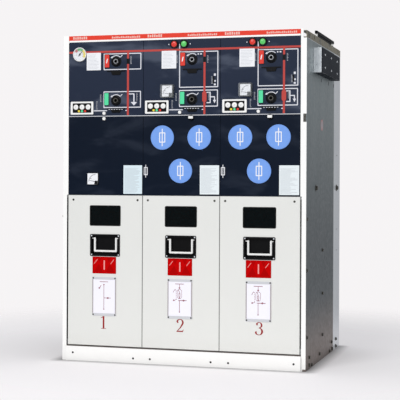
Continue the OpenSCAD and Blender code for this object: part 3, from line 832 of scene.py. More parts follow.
# %% A lathe that faces the front
def turned(solids, x, face, z, profile, steps=40):
    """Adds a body of revolution to a bmesh. A profile point is (radius, distance out of the face)."""
    rings = []
    for radius, out in profile:
        if radius == 0:
            rings.append([solids.verts.new(Vector((x, face - out, z)) * MM)])
            continue
        around = arc_points(x, z, radius, 0, 360, steps)[:-1]
        rings.append([solids.verts.new(Vector((across, face - out, up)) * MM) for across, up in around])
    closed = profile[0][0] != 0 and profile[-1][0] != 0
    pairs = list(zip(rings, rings[1:])) + ([(rings[-1], rings[0])] if closed else [])
    for first, second in pairs:
        for index in range(steps):
            after = (index + 1) % steps
            corners = [first[index % len(first)], first[after % len(first)]]
            corners += [second[after % len(second)], second[index % len(second)]]
            solids.faces.new(list(dict.fromkeys(corners)))


def turned_piece(name, spots, profile, material, body="cabinet", steps=40, smooth=True):
    """One mesh with the same turned part at each spot (x, face, z)."""
    solids = bmesh.new()
    for x, face, z in spots:
        turned(solids, x, face, z, profile, steps)
    bmesh.ops.recalc_face_normals(solids, faces=solids.faces)
    for edge in solids.edges:
        if len(edge.link_faces) == 2 and edge.calc_face_angle() > math.radians(38):
            edge.smooth = False
    for face in solids.faces:
        face.smooth = smooth
    mesh = bpy.data.meshes.new(name)
    solids.to_mesh(mesh)
    solids.free()
    return as_piece(name, mesh, material, body)


def dome(radius, out, rise, steps=6):
    """A profile with a straight rim up to out, and then a dome that rises to the middle."""
    crown = [(radius * math.cos(a), out + rise * math.sin(a))
             for a in [math.pi / 2 * step / steps for step in range(1, steps)]]
    return [(0, -0.5), (radius, -0.5), (radius, out), *crown, (0, out + rise)]


# %% [markdown]
# The push buttons have domed lenses that slide in their bezels. Each lens stands for its CAD button and rides on the
# same moving body, so a press takes it along. The bezel's ring on the cabinet gets a raised lip around the lens.

# %% Push buttons
button_r = (high("button_red_2").x - low("button_red_2").x) / 2
button_face = low("button_red_2").y
for bay in FUSED_BAYS:
    for colour, material in (("red", red_lens), ("green", green_lens)):
        node = f"button_{colour}_{bay}"
        spot = (middle(node).x, high(node).y, middle(node).z)
        long = high(node).y - button_face
        rim = [(button_r - 1.2, long - 0.6), (button_r, long - 1.8)]
        crown = [(button_r * 0.80, long - 0.1), (button_r * 0.5, long + 0.5), (0, long + 0.8)]
        profile = [(0, 0), (button_r, 0), *reversed(rim), *crown]
        lens_piece = turned_piece(f"lens_{colour}_{bay}", [spot], profile, material,
                                  f"{colour}_button_{bay}")
        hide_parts(node)

bezel_face = low("button_bezels").y
bezel_r = button_r + 5.5
lip = [(button_r + 0.6, -0.3), (bezel_r, -0.3), (bezel_r - 0.8, 1.0), (button_r + 1.6, 1.3), (button_r + 0.6, 0.9)]
spots = [(middle(f"button_{c}_{b}").x, bezel_face, button_z) for b in FUSED_BAYS for c in ("red", "green")]
turned_piece("bezel_lips", spots, lip, black_plastic)

# %% [markdown]
# The operating lever plugs into a square-looking socket. Its body is a CAD collar that turns on a shaft. A bright
# steel liner sits around the bore and turns with it, with two driving notches, so that the turn can be seen.

# %% Lever sockets
collar_r = (high("switch_socket_1").x - low("switch_socket_1").x) / 2
for bay in BAYS:
    for kind in ("switch", "earth"):
        node, body = f"{kind}_socket_{bay}", f"{kind}_shaft_{bay}"
        x, z, face = middle(node).x, middle(node).z, low(node).y
        liner = [(6.5, -14), (6.9, -14), (6.9, 0.05), (10.2, 0.05), (9.6, 0.9), (7.2, 0.9), (6.5, 0.2)]
        liner_metal = chrome if kind == "switch" else dark_steel
        turned_piece(f"{kind}_liner_{bay}", [(x, face, z)], liner, liner_metal, body)
        keys = Relief(face, 1.3)
        for turn in (45, 225):
            inner = arc_points(x, z, 11.2, turn - 24, turn + 24, 8)
            outer = arc_points(x, z, collar_r - 1.6, turn - 24, turn + 24, 8)
            keys.band(inner, outer)
        keys.done(f"{kind}_keys_{bay}", black_plastic, "black_plastic", body, bevel=0.4)

rosette = [(collar_r + 1.2, -0.2), (collar_r + 5.5, -0.2), (collar_r + 5.0, 1.6), (collar_r + 1.6, 2.6),
           (collar_r + 1.2, 2.0)]
spots = [(middle(f"{k}_socket_{b}").x, panel_face, middle(f"{k}_socket_{b}").z)
         for b in BAYS for k in ("switch", "earth")]
turned_piece("socket_rosettes", spots, rosette, black_plastic)

# %% [markdown]
# ## Geometry Nodes for what repeats
#
# Screws, scale ticks and rows of small print are one shape many times over. A Geometry Nodes tree places it on
# points, and its sizes are named inputs, so that one tree serves several pieces. `Pattern` builds such a tree, ends
# it with Realize Instances and Set Material, sets the inputs by their identifiers and returns a plain mesh.


# %% Pattern trees
class Pattern(Graph):
    """A Geometry Nodes tree whose result is turned into a plain mesh."""

    ANGLES, COUNTS = ("Start", "Sweep"), ("Count", "Seed")

    def __init__(self, name):
        super().__init__(bpy.data.node_groups.new(name, "GeometryNodeTree"))
        self.ports = {}
        self.tree.interface.new_socket("Geometry", in_out="OUTPUT", socket_type="NodeSocketGeometry")
        self.entry = self.tree.nodes.new("NodeGroupInput")
        self.points = self.port("Points", "NodeSocketGeometry")
        self.material = self.port("Finish", "NodeSocketMaterial")

    def port(self, name, kind="NodeSocketFloat"):
        """A named input of the tree."""
        item = self.tree.interface.new_socket(name, in_out="INPUT", socket_type=kind)
        self.ports[name] = item.identifier
        return Link(self, self.entry.outputs[name])

    def whole(self, name):
        return self.port(name, "NodeSocketInt")

    def vector(self, x=0.0, y=0.0, z=0.0):
        return self.node("ShaderNodeCombineXYZ", None, x, y, z)

    def moved(self, shape, *, shift=None, scale=None):
        return self.node("GeometryNodeTransform", None, Geometry=shape, Translation=shift, Scale=scale)

    def end(self, instances):
        real = self.node("GeometryNodeRealizeInstances", None, instances)
        done = self.node("GeometryNodeSetMaterial", None, Geometry=real, Material=self.material)
        exit_node = self.tree.nodes.new("NodeGroupOutput")
        self.tree.links.new(done.socket, exit_node.inputs["Geometry"])

    def grow(self, name, material, slot, points=((0, 0, 0),), facing=None, **sizes):
        """Runs the tree on points and makes its mesh a piece of the cabinet. Millimetres, degrees and whole counts."""
        start = bpy.data.meshes.new(name)
        start.from_pydata([tuple(Vector(point) * MM) for point in points], [], [])
        if facing:
            facing = [facing] * len(points) if isinstance(facing, tuple) else facing
            attribute = start.attributes.new("facing", "FLOAT_VECTOR", "POINT")
            attribute.data.foreach_set("vector", [value for vector in facing for value in vector])
        host = bpy.data.objects.new(name, start)
        bpy.context.scene.collection.objects.link(host)
        modifier = host.modifiers.new("pattern", "NODES")
        modifier.node_group = self.tree
        modifier[self.ports["Finish"]] = material
        for key, value in sizes.items():
            if key in self.ANGLES:
                value = math.radians(value)
            elif key not in self.COUNTS:
                value = value * MM
            modifier[self.ports[key.replace("_", " ")]] = value
        depsgraph = bpy.context.evaluated_depsgraph_get()
        mesh = bpy.data.meshes.new_from_object(host.evaluated_get(depsgraph), depsgraph=depsgraph)
        bpy.data.objects.remove(host)
        mesh.name = name
        print(name, len(mesh.polygons), "faces")
        as_piece(name, mesh, material)


def facing_rotation(tree):
    """Turns an instance's Z to the point's facing, and twists it by a fixed random angle."""
    named = {"data_type": "FLOAT_VECTOR"}
    facing = tree.node("GeometryNodeInputNamedAttribute", named, "facing")
    aimed = tree.node("FunctionNodeAlignRotationToVector", {"axis": "Z"}, Vector=facing)
    values = (None, None, 0.0, 2 * math.pi, None, None, None, None, 7)
    twist = tree.node("FunctionNodeRandomValue", {"data_type": "FLOAT"}, *values, output=1)
    turn = tree.node("FunctionNodeEulerToRotation", None, tree.vector(0.0, 0.0, twist))
    return tree.node("FunctionNodeRotateRotation", {"rotation_space": "LOCAL"}, aimed, turn)


# %% Hexagon bolts with washers
def bolt_tree():
    tree = Pattern("hexagon_bolts")
    head, thick = tree.port("Head Radius"), tree.port("Head Height")
    washer, flat = tree.port("Washer Radius"), tree.port("Washer Height")
    disc = tree.node("GeometryNodeMeshCylinder", None, Vertices=24, Radius=washer, Depth=flat)
    disc = tree.moved(disc, shift=tree.vector(0.0, 0.0, flat * 0.5))
    hexagon = tree.node("GeometryNodeMeshCylinder", None, Vertices=6, Radius=head, Depth=thick * 0.75)
    hexagon = tree.moved(hexagon, shift=tree.vector(0.0, 0.0, flat + thick * 0.375))
    cone = tree.node("GeometryNodeMeshCone", None, Vertices=6, Radius_Top=head * 0.78, Radius_Bottom=head,
                     Depth=thick * 0.25)
    cone = tree.moved(cone, shift=tree.vector(0.0, 0.0, flat + thick * 0.75))
    bolt = tree.node("GeometryNodeJoinGeometry", None, [disc, hexagon, cone])
    flat_bolt = tree.node("GeometryNodeSetShadeSmooth", None, Geometry=bolt, Shade_Smooth=False)
    tree.end(tree.node("GeometryNodeInstanceOnPoints", None, Points=tree.points, Instance=flat_bolt,
                       Rotation=facing_rotation(tree)))
    return tree


# %% Domed screws with a cross recess
def screw_tree():
    tree = Pattern("cross_screws")
    head, rise = tree.port("Head Radius"), tree.port("Head Rise")
    ball = tree.node("GeometryNodeMeshUVSphere", None, Segments=20, Rings=12, Radius=head)
    crown = tree.moved(ball, scale=tree.vector(1.0, 1.0, rise / head))
    size = head * 1.15
    arms = [tree.node("GeometryNodeMeshCube", None, Size=tree.vector(*pair, rise * 0.9))
            for pair in ((size, head * 0.26), (head * 0.26, size))]
    cross = tree.node("GeometryNodeJoinGeometry", None, arms)
    cross = tree.moved(cross, shift=tree.vector(0.0, 0.0, rise * 0.95))
    cut = {"operation": "DIFFERENCE", "solver": "EXACT"}
    screw = tree.node("GeometryNodeMeshBoolean", cut, crown, cross, Self_Intersection=True)
    tree.end(tree.node("GeometryNodeInstanceOnPoints", None, Points=tree.points, Instance=screw,
                       Rotation=facing_rotation(tree)))
    return tree


# %% Scale ticks around a dial
def tick_tree():
    tree = Pattern("scale_ticks")
    count = tree.whole("Count")
    centre = tree.port("Centre", "NodeSocketVector")
    radius, start, sweep = tree.port("Radius"), tree.port("Start"), tree.port("Sweep")
    long, wide, thick = tree.port("Length"), tree.port("Width"), tree.port("Thickness")
    row = tree.node("GeometryNodeMeshLine", None, Count=count)
    angle = start + tree.node("GeometryNodeInputIndex") * sweep / (count - 1)
    outward = tree.vector(radius * angle.math("COSINE", angle), 0.0, radius * angle.math("SINE", angle))
    place = tree.node("ShaderNodeVectorMath", {"operation": "ADD"}, centre, outward)
    row = tree.node("GeometryNodeSetPosition", None, Geometry=row, Position=place)
    tick = tree.node("GeometryNodeMeshCube", None, Size=tree.vector(long, thick, wide))
    turn = tree.node("FunctionNodeEulerToRotation", None, tree.vector(0.0, 0.0 - angle, 0.0))
    tree.end(tree.node("GeometryNodeInstanceOnPoints", None, Points=row, Instance=tick, Rotation=turn))
    return tree


# %% Rows of small print, drawn as plain bars
def row_tree():
    tree = Pattern("print_rows")
    count, seed = tree.whole("Count"), tree.whole("Seed")
    corner = tree.port("Corner", "NodeSocketVector")
    pitch, wide, thick, tall = (tree.port(n) for n in ("Pitch", "Width", "Thickness", "Height"))
    row = tree.node("GeometryNodeMeshLine", None, Count=count, Start_Location=corner,
                    Offset=tree.vector(0.0, 0.0, 0.0 - pitch))
    bar = tree.node("GeometryNodeMeshCube", None, Size=tree.vector(wide, thick, tall))
    bar = tree.moved(bar, shift=tree.vector(wide * 0.5))
    values = (None, None, 0.55, 1.0, None, None, None, None, seed)
    share = tree.node("FunctionNodeRandomValue", {"data_type": "FLOAT"}, *values, output=1)
    tree.end(tree.node("GeometryNodeInstanceOnPoints", None, Points=row, Instance=bar,
                       Scale=tree.vector(share, 1.0, 1.0)))
    return tree


bolts, screws, ticks, rows = bolt_tree(), screw_tree(), tick_tree(), row_tree()

# %% [markdown]
# The red band over the panels carries nothing but two short rows of plain white blocks in each bay.

# %% Blocks on the header band
HEADER_ROWS = [(18, 64, 7, 11.0), (188, 124, 16, 8.0)]
blocks = Relief(cover_face - 0.4, 0.3)
for bay in BAYS:
    for across, wide, count, tall in HEADER_ROWS:
        pitch = wide / count
        for step in range(count):
            x = bay_x(bay) + across + step * pitch
            drop = 2.0 if step % 3 == 1 else 0.0
            blocks.bar(x, x + pitch * 0.68, header_z + 12, header_z + 12 + tall - drop)
blocks.done("header_blocks", header_white, "white_plastic")

# %% [markdown]
# Beside many symbols stands a column of small grey writing. Plain blocks of the same size take its place, stacked
# like letters in a narrow column.

# %% Captions as plain blocks
CAPTIONS = [(140, 53, 32), (123.5, 23, 35)]
OPEN_CAPTIONS = CAPTIONS + [(271, 206, 34), (297, 57, 33)]
FUSED_CAPTIONS = CAPTIONS + [(143, 206, 33), (272, 203, 32), (289.5, 119, 31), (277, 56, 31)]
LETTER_PITCH = 5
for bay in BAYS:
    for index, (across, up, tall) in enumerate(FUSED_CAPTIONS if bay in FUSED_BAYS else OPEN_CAPTIONS):
        count = round(tall / LETTER_PITCH)
        corner = Vector((bay_x(bay) + across - 3, panel_face - 0.15, upper_z + up + tall))
        rows.grow(f"caption_{bay}_{index}", grey_ink, "black_plastic", Count=count, Seed=20 + index, Corner=corner,
                  Pitch=tall / count, Width=6.5, Thickness=0.5, Height=2.6)

# %% [markdown]
# ## Instruments
#
# The gas gauge tells whether the tank still holds its pressure: red for low, green for good, yellow for high. The
# dial lies in the CAD case, with a needle and a domed glass in front of it.

# %% Gas gauge
gauge = middle("gauge_case")
gauge_dial = high("gauge_case").y - 2.0
gauge_r = (high("gauge_case").x - low("gauge_case").x) / 2 - 2.6
dial = Relief(gauge_dial, 0.5)
dial.disc(gauge.x, gauge.z, gauge_r)
dial.done("gauge_dial", plate_white, "white_plastic")
zones = ((152, 117, red_ink, "low"), (116, 52, dial_green, "good"), (51, -36, lamp_yellow, "high"))
for start, end, material, zone in zones:
    arc = Relief(gauge_dial - 0.5, 0.25)
    arc.arc(gauge.x, gauge.z, gauge_r - 5.5, end, start, 9.0)
    arc.done(f"gauge_zone_{zone}", material, "white_plastic")
needle = Relief(gauge_dial - 0.9, 1.0)
tip = on_circle(gauge.x, gauge.z, gauge_r - 7, 52)
tail = on_circle(gauge.x, gauge.z, 9, 232)
needle.stroke([tail, (gauge.x, gauge.z), tip], [4.2, 3.2, 1.0])
needle.disc(gauge.x, gauge.z, 4.0, 1.6)
needle.done("gauge_needle", black_ink, "black_plastic")
ticks.grow("gauge_ticks", black_ink, "black_plastic", Count=21, Centre=Vector((gauge.x, gauge_dial - 0.85, gauge.z)),
           Radius=gauge_r - 12, Start=200, Sweep=-238, Length=2.4, Width=0.6, Thickness=0.5)
glass = [(0, 0), (gauge_r + 0.1, 0), (gauge_r + 0.1, 0.6), (gauge_r * 0.6, 1.5), (0, 1.9)]
turned_piece("gauge_glass", [(gauge.x, low("gauge_case").y + 1.0, gauge.z)], glass, clear)

# %% [markdown]
# The square ammeters are moving-coil instruments with their pivot in the lower right corner and a quarter-circle
# scale. Bay 1 has a smaller one, flush with the lower panel. The scale and the needle use the same centre and radius,
# so a helper draws any of the three.


# %% Square ammeters
def ammeter(name, x, z, face, wide, tall, needle_at):
    """A dial that is wide by tall millimetres around (x, z), on a face."""
    plate = Relief(face, 0.6)
    plate.panel(*around(x, z, wide / 2, tall / 2), 1.5)
    plate.done(f"{name}_dial", plate_white, "white_plastic")
    pivot_x, pivot_z = x + wide * 0.30, z - tall * 0.27
    reach = wide * 0.66
    figure = Relief(face - 0.6, 0.3)
    figure.arc(pivot_x, pivot_z, reach, 92, 178, 0.9)
    figure.disc(pivot_x, pivot_z, 4.6, 1.6)
    corner = [(x + wide * 0.12, z - tall / 2), *arc_points(x + wide / 2, z - tall / 2, wide * 0.34, 178, 92, 10)]
    figure.plate([*corner[1:], (x + wide / 2 - 0.2, z - tall / 2 + 0.2)], 0.8)
    tip = on_circle(pivot_x, pivot_z, reach * 0.94, needle_at)
    figure.stroke([(pivot_x, pivot_z), tip], [1.8, 0.7], 1.2)
    figure.bar(x - wide * 0.30, x - wide * 0.12, z + tall * 0.02, z + tall * 0.05)
    figure.done(f"{name}_figure", black_ink, "black_plastic")
    ticks.grow(f"{name}_ticks", black_ink, "black_plastic", Count=16, Centre=Vector((pivot_x, face - 0.75, pivot_z)),
               Radius=reach + 1.6, Start=92, Sweep=86, Length=3.2, Width=0.5, Thickness=0.4)


METER_X, SMALL_METER_X, SMALL_METER_UP = 105, 108, 66
meter_z = middle("meter_covers").z
meter_face = low("meter_bases").y
for bay in FUSED_BAYS:
    ammeter(f"ammeter_{bay}", bay_x(bay) + METER_X, meter_z, meter_face, 42, 44, 172)
ammeter("ammeter_1", bay_x(1) + SMALL_METER_X, lower_z + SMALL_METER_UP, panel_face - 5.0, 45, 45, 168)

# %% [markdown]
# Voltage indicators show with three lamps whether the cables are live. A white frame surrounds a black face. The
# lamps are domed lenses, and three small jewels under them name the phases by colour.

# %% Voltage indicators
LAMP_STEP, LAMP_UP, LAMP_R = 27, 4, 10.6
JEWELS = {"yellow": (-13.5, lamp_yellow), "green": (0, flag_green), "red": (13.5, flag_red)}
indicator_face, indicator_z = low("voltage_indicators").y, middle("voltage_indicators").z
indicator_x = low("voltage_indicators").x - bay_x(1) + 50
surround = Relief(indicator_face, 1.4)
for bay in BAYS:
    x = bay_x(bay) + indicator_x
    outer = rounded_outline(*around(x, indicator_z, 50, 26.5), 3.5)
    inner = rounded_outline(x - 41, x + 41, indicator_z - 19.5, indicator_z + 20, 2.0)
    surround.band(inner, outer, True)
surround.done("indicator_frames", white_plastic, "white_plastic", bevel=0.5)
lamps = [(bay_x(bay) + indicator_x + across, indicator_face, indicator_z + LAMP_UP) for bay in BAYS
         for across in (-LAMP_STEP, 0, LAMP_STEP)]
turned_piece("indicator_lamps", lamps, dome(LAMP_R, 1.2, 2.2), white_plastic)
slashes = Relief(indicator_face - 2.4, 1.15)
for x, _, z in lamps:
    slashes.line(x - 1.5, z - 3.5, x + 1.5, z + 3.5, 1.2)
slashes.done("indicator_lamp_marks", grey_ink, "black_plastic")
for name, (across, material) in JEWELS.items():
    spots = [(bay_x(bay) + indicator_x + across, indicator_face, indicator_z - 13) for bay in BAYS]
    turned_piece(f"phase_jewels_{name}", spots, dome(5.0, 0.8, 1.8), material)

# %% [markdown]
# ## Plates and sheets
#
# Each bay has a rating plate above and an instruction sheet below. What they say belongs to a maker, so they carry
# rows of plain bars in place of words. The bars come from the row tree, each with its own fixed seed.

# %% Rating plates and instruction sheets
PLATE, SHEET = (78, 140, 187, 258.5), (240.5, 320.5, 5.5, 121.5)
plates = Relief(panel_face, 1.2)
for bay in BAYS:
    x = bay_x(bay)
    plates.panel(*moved(PLATE, x, upper_z), 1.5)
    sheet = Relief(panel_face, 0.6)
    sheet.panel(*moved(SHEET, x, lower_z), 1.0)
    sheet.done(f"instruction_sheet_{bay}", sheet_white if bay in FUSED_BAYS else sheet_blue, "white_plastic")
    corner = Vector((x + PLATE[0] + 6, panel_face - 1.25, upper_z + 250))
    rows.grow(f"plate_rows_{bay}", print_ink, "black_plastic", Count=11, Seed=bay, Corner=corner, Pitch=5.6,
              Width=49, Thickness=0.3, Height=0.9)
    corner = Vector((x + 245, panel_face - 0.65, lower_z + 108))
    rows.grow(f"sheet_rows_{bay}", print_ink, "black_plastic", Count=25, Seed=10 + bay, Corner=corner, Pitch=4.0,
              Width=70, Thickness=0.3, Height=0.9)
plates.done("rating_plates", plate_white, "white_plastic", bevel=0.3)

# %% [markdown]
# The blue discs close the fuse canisters. Each shows the symbol for a fuse: a long box with a wire through it. A
# smaller one stands in the lower left corner of each fused bay.

# %% Fuse symbols
def fuse_symbol(relief, x, z, half_wide, half_tall, reach, line, wire, radius):
    """A long box with a wire through it. reach is the wire's end, line and wire are the widths of the strokes."""
    relief.frame(*around(x, z, half_wide, half_tall), line, radius)
    inside = half_tall - line
    for low_end, high_end in ((-inside, inside), (half_tall, reach), (-reach, -half_tall)):
        relief.bar(x - wire, x + wire, z + low_end, z + high_end)


fuse_face = low("fuse_covers").y
FUSE_SPOTS = [(83, 233.5), (238, 233.5), (160, 99.5)]
symbols = Relief(fuse_face, 0.5)
rims = [(bay_x(bay) + across, fuse_face, lower_z + up) for bay in FUSED_BAYS for across, up in FUSE_SPOTS]
for x, _, z in rims:
    fuse_symbol(symbols, x, z, 13, 20.5, 35, 3.8, 1.9, 2.0)
symbols.done("fuse_symbols", plate_white, "white_plastic")
RIM = [(44.5, -0.4), (48.6, -0.4), (48.2, 0.8), (45.2, 0.9)]
turned_piece("fuse_rims", rims, RIM, blue_plastic, steps=64)
small = Relief(panel_face, 0.4)
for bay in FUSED_BAYS:
    fuse_symbol(small, bay_x(bay) + 12, lower_z + 98, 8, 16, 26, 2.8, 1.2, 1.5)
small.done("small_fuse_symbols", plate_white, "white_plastic")

# %% Padlock slides and release knobs
KNOB_R = 10.6
dashes = Relief(low("padlock_slides").y, 0.3)
for bay in BAYS:
    for step in range(6):
        x = bay_x(bay) + 176 + step * 11
        dashes.bar(x, x + 6, upper_z + 24.2, upper_z + 26.2)
dashes.done("slide_dashes", white_ink, "white_plastic")
knob_face = low("release_knobs").y
knob_high = panel_face - knob_face
knob_spots = [(bay_x(bay) + 204, panel_face, lower_z + 312) for bay in FUSED_BAYS]
knob = [(0, 0), (KNOB_R, 0), (KNOB_R, knob_high - 1), (KNOB_R - 1.2, knob_high + 0.6), (0, knob_high + 0.6)]
turned_piece("black_knobs", knob_spots, knob, black_plastic)
grips = Relief(knob_face - 0.6, 2.2)
for x, _, z in knob_spots:
    grips.panel(x - 9.5, x + 9.5, z - 4, z + 6.5, 2.0)
grips.done("knob_grips", white_plastic, "white_plastic", bevel=0.6)

# %% [markdown]
# ## Cable covers
#
# Behind the lower covers the cables end. Each cover has a smoked inspection window in a rubber profile, a handle
# dish with a drop handle, a red label, a holder with the bay's own diagram, and the bay's number.

# %% Window gaskets
gaskets = Relief(cover_face, 1.0, 2.0)
window_z0, window_z1 = low("window_panes").z + 10, high("window_panes").z - 10
for bay in BAYS:
    x = bay_x(bay) + bay_w / 2
    outer = rounded_outline(x - 67.5, x + 67.5, window_z0 - 1, window_z1 + 1, 6.0)
    inner = rounded_outline(x - 63.5, x + 63.5, window_z0 + 3, window_z1 - 3, 4.0)
    gaskets.band(inner, outer, True)
gaskets.done("window_gaskets", rubber, "black_plastic", bevel=0.4)

# %% Painted shade in the seams between the covers
# Each seam gets a dark grey strip, wider than its gap: painted shade between two covers.
seams = Relief(cover_face, 0.3, 1.5)
for bay in FUSED_BAYS:
    seams.bar(bay_x(bay) - 1.9, bay_x(bay) + 1.1, cover_z + 1, cover_top - 1)
seams.done("cover_seam_shade", seam_shade_grey, "black_plastic")

# %% Red labels
LABEL_X, LABEL_DROP, LABEL_H, LABEL_HALF = 159, 71, 69, 51.5
DARK_SHAPES = [[(6, 6), (46, 6), (24, 40)], [(12, 64), (20, 44), (30, 64)]]
plain, dark, pale = Relief(cover_face, 0.5), Relief(cover_face - 0.5, 0.1), Relief(cover_face - 0.5, 0.2)
label_z = low("handle_dishes").z - LABEL_DROP
for bay in BAYS:
    x = bay_x(bay) + LABEL_X
    sides = (x - LABEL_HALF, x + LABEL_HALF, label_z, label_z + LABEL_H)
    plain.panel(*sides, 1.5)
    dark.frame(*sides, 3.0, 1.5)
    for side in (-1, 1):
        for shape in DARK_SHAPES:
            dark.plate([(x + side * across, label_z + up) for across, up in shape])
        stroke_x = x + side * 36
        pale.line(stroke_x - 8, label_z + 40, stroke_x + 6, label_z + 58, 2.2)
    pale.panel(x - 2.6, x + 2.6, label_z + 16, label_z + 54, 1.5, 0.3)
plain.done("red_labels", label_red, "red_button")
dark.done("red_label_stripes", label_dark, "red_button")
pale.done("red_label_marks", label_pink, "red_button")

# %% Diagram sheets in their holders
holder_low, holder_high = low("diagram_holders"), high("diagram_holders")
holder_face = holder_low.y
HOLDER_HALF = 52.0
STRIP_H = 11.0


def sheet_drawing(fused):
    """One-line diagram of a bay: shapes as (method, values), from the holder's top middle."""
    shapes = [("bar", (-18, 18, -21.2, -19)), ("bar", (-1, 1, -130, -92)), ("disc", (0, -132, 2.4, 0.3)),
              ("plate", ([(10, -86), (17, -90), (24, -86), (17, -82)], 0.35))]
    if not fused:
        shapes += [("bar", (-1, 1, -92, -33)), ("disc", (0, -32, 2.8, 0.3)), ("bar", (1, 30, -87, -85)),
                   ("line", (-20, -47, -12, -35, 2.2)), ("disc", (-20, -46, 3.2, 0.3))]
        return shapes
    shapes += [("bar", (-0.9, 0.9, -33, -21.2)), ("disc", (0, -36, 3.4, 0.3)), ("bar", (-5, 30, -87.2, -84.8)),
               ("bar", (-1, 1, -92, -87.2)), ("frame", (-10, 10, -79, -41, 1.4, 9)),
               ("line", (-5, -43, 0, -53, 2.0, 0.3)), ("frame", (-3.4, 3.4, -71, -57, 1.8, 0.8)),
               ("bar", (-0.9, 0.9, -57, -53)), ("disc", (0, -75, 2.8, 0.3)), ("disc", (-24, -86, 3.2, 0.3)),
               ("line", (-21, -86, -12, -82, 1.8)), ("line", (-26, -54, -20, -43, 1.8)),
               ("line", (-19.5, -42, -13, -47, 1.8, 0.3))]
    return shapes + [("bar", (-14.8, -13.2, z - 4, z)) for z in range(-50, -80, -7)]


def placed(shape, values, x, z):
    """The values of a shape, moved to (x, z)."""
    if shape == "plate":
        return [(x + px, z + pz) for px, pz in values[0]], values[1]
    pattern = {"bar": (x, x, z, z), "frame": (x, x, z, z), "disc": (x, z), "line": (x, z, x, z)}[shape]
    return [value + shift for value, shift in zip(values, pattern)] + list(values[len(pattern):])


strips = Relief(holder_face, 0.8)
rails = Relief(holder_face, 0.6)
paper = Relief(holder_face, 0.4)
drawing = Relief(holder_face - 0.4, 0.2)
for bay in BAYS:
    x = bay_x(bay) + holder_low.x - bay_x(1) + HOLDER_HALF + 0.5
    z0, z1 = holder_low.z, holder_high.z
    strips.panel(x - HOLDER_HALF, x + HOLDER_HALF, z1 - STRIP_H, z1 - 0.5, 1.5)
    strips.panel(x - HOLDER_HALF, x + HOLDER_HALF, z0 + 0.5, z0 + STRIP_H, 1.5)
    for side in (-1, 1):
        ends = sorted((x + side * (HOLDER_HALF - 0.5), x + side * (HOLDER_HALF - 4.5)))
        rails.bar(*ends, z0 + STRIP_H, z1 - STRIP_H)
    paper.bar(x - HOLDER_HALF + 5, x + HOLDER_HALF - 5, z0 + STRIP_H + 0.5, z1 - STRIP_H - 0.5)
    for shape, values in sheet_drawing(bay in FUSED_BAYS):
        getattr(drawing, shape)(*placed(shape, values, x - 1, z1))
strips.done("holder_strips", pale_ink, "galvanised_steel", bevel=0.3)
rails.done("holder_rails", holder_ink, "galvanised_steel")
paper.done("holder_sheets", sheet_lilac, "white_plastic")
drawing.done("holder_diagrams", mauve_ink, "black_plastic")

# %% [markdown]
# The bay numbers are brushed on with a broad pen, so they swell and thin like a book face. Each is drawn from pen
# strokes on a unit-high grid: straight ones, and arcs whose width grows towards the side.


# %% Bay numbers
def pen_arc(x, z, radius, start, end, thin, thick, squash=1.0, steps=16):
    """Points and widths of a curved stroke, thickest where it runs upright."""
    angles = [math.radians(start + (end - start) * step / steps) for step in range(steps + 1)]
    points = [(x + radius * math.cos(a), z + radius * squash * math.sin(a)) for a in angles]
    return points, [thin + (thick - thin) * math.cos(a) ** 2 for a in angles]


def numeral(digit):
    """Strokes of a digit, as (points, widths), in units of its height."""
    if digit == 1:
        stem = ([(0.0, 0.02), (0.0, 0.98)], [0.135, 0.135])
        flag = ([(-0.22, 0.84), (-0.06, 0.93), (0.05, 0.99)], [0.03, 0.07, 0.02])
        return [stem, flag, ([(-0.22, 0.017), (0.22, 0.017)], [0.034, 0.034])]
    if digit == 2:
        bowl = pen_arc(-0.01, 0.735, 0.235, 172, -30, 0.045, 0.135)
        tail = [on_circle(-0.01, 0.735, 0.235, -30), (0.02, 0.33), (-0.24, 0.06)]
        foot = ([(-0.28, 0.045), (0.24, 0.045)], [0.09, 0.09])
        hook = ([(0.20, 0.05), (0.27, 0.19)], [0.09, 0.02])
        return [bowl, (tail, [0.125, 0.08, 0.03]), foot, hook]
    top = pen_arc(-0.01, 0.765, 0.20, 165, -88, 0.045, 0.125)
    bottom = pen_arc(-0.03, 0.285, 0.26, 88, -165, 0.045, 0.145)
    return [top, bottom]


NUMBER_H = 52.0
NUMBER_X = {1: 157, 2: 161, 3: 163}
NUMBER_DOTS = {1: [], 2: [(-0.19, 0.75)], 3: [(-0.17, 0.80), (-0.245, 0.235)]}
numbers = Relief(cover_face, 0.35)
for bay in BAYS:
    x, z = bay_x(bay) + NUMBER_X[bay], holder_low.z - NUMBER_H - 0.5
    for order, (points, widths) in enumerate(numeral(bay)):
        path = [(x + px * NUMBER_H, z + pz * NUMBER_H) for px, pz in points]
        numbers.stroke(path, [width * NUMBER_H for width in widths], 0.30 + 0.04 * order)
    for px, pz in NUMBER_DOTS[bay]:
        numbers.disc(x + px * NUMBER_H, z + pz * NUMBER_H, 0.062 * NUMBER_H, 0.5)
numbers.done("bay_numbers", number_ink, "red_button")

# %% [markdown]
# ## Screws and bolts
#
# The small screws on the front are bright cross-head screws, the ones in the kick panel are black, and the side
# plates are held by hexagon bolts with washers. Each list of places grows in one step, and the plain left side
# repeats the right one.


# %% Front screws
FRONT = (0, -1, 0)


def front_screws(name, material, slot, spots, face, radius, rise):
    points = [(x, face, z) for x, z in spots]
    screws.grow(name, material, slot, points, FRONT, Head_Radius=radius, Head_Rise=rise)


cover_spots = [(bay_x(bay) + across, cover_top - 18.5) for bay in BAYS for across in (22, 302)]
front_screws("cover_screws", dark_steel, "passivated_steel", cover_spots, cover_face, 4.6, 1.8)

dish_low, dish_high = low("handle_dishes"), high("handle_dishes")
dish_left = dish_low.x - bay_x(1)
dish_w = dish_high.x - bay_x(3) - dish_left
dish_spots = [(bay_x(bay) + dish_left + across, z) for bay in BAYS for across in (6.5, dish_w - 6.5)
              for z in (dish_low.z + 6.5, dish_high.z - 6.5)]
front_screws("dish_screws", zinc, "bright_zinc", dish_spots, dish_low.y, 3.1, 1.4)

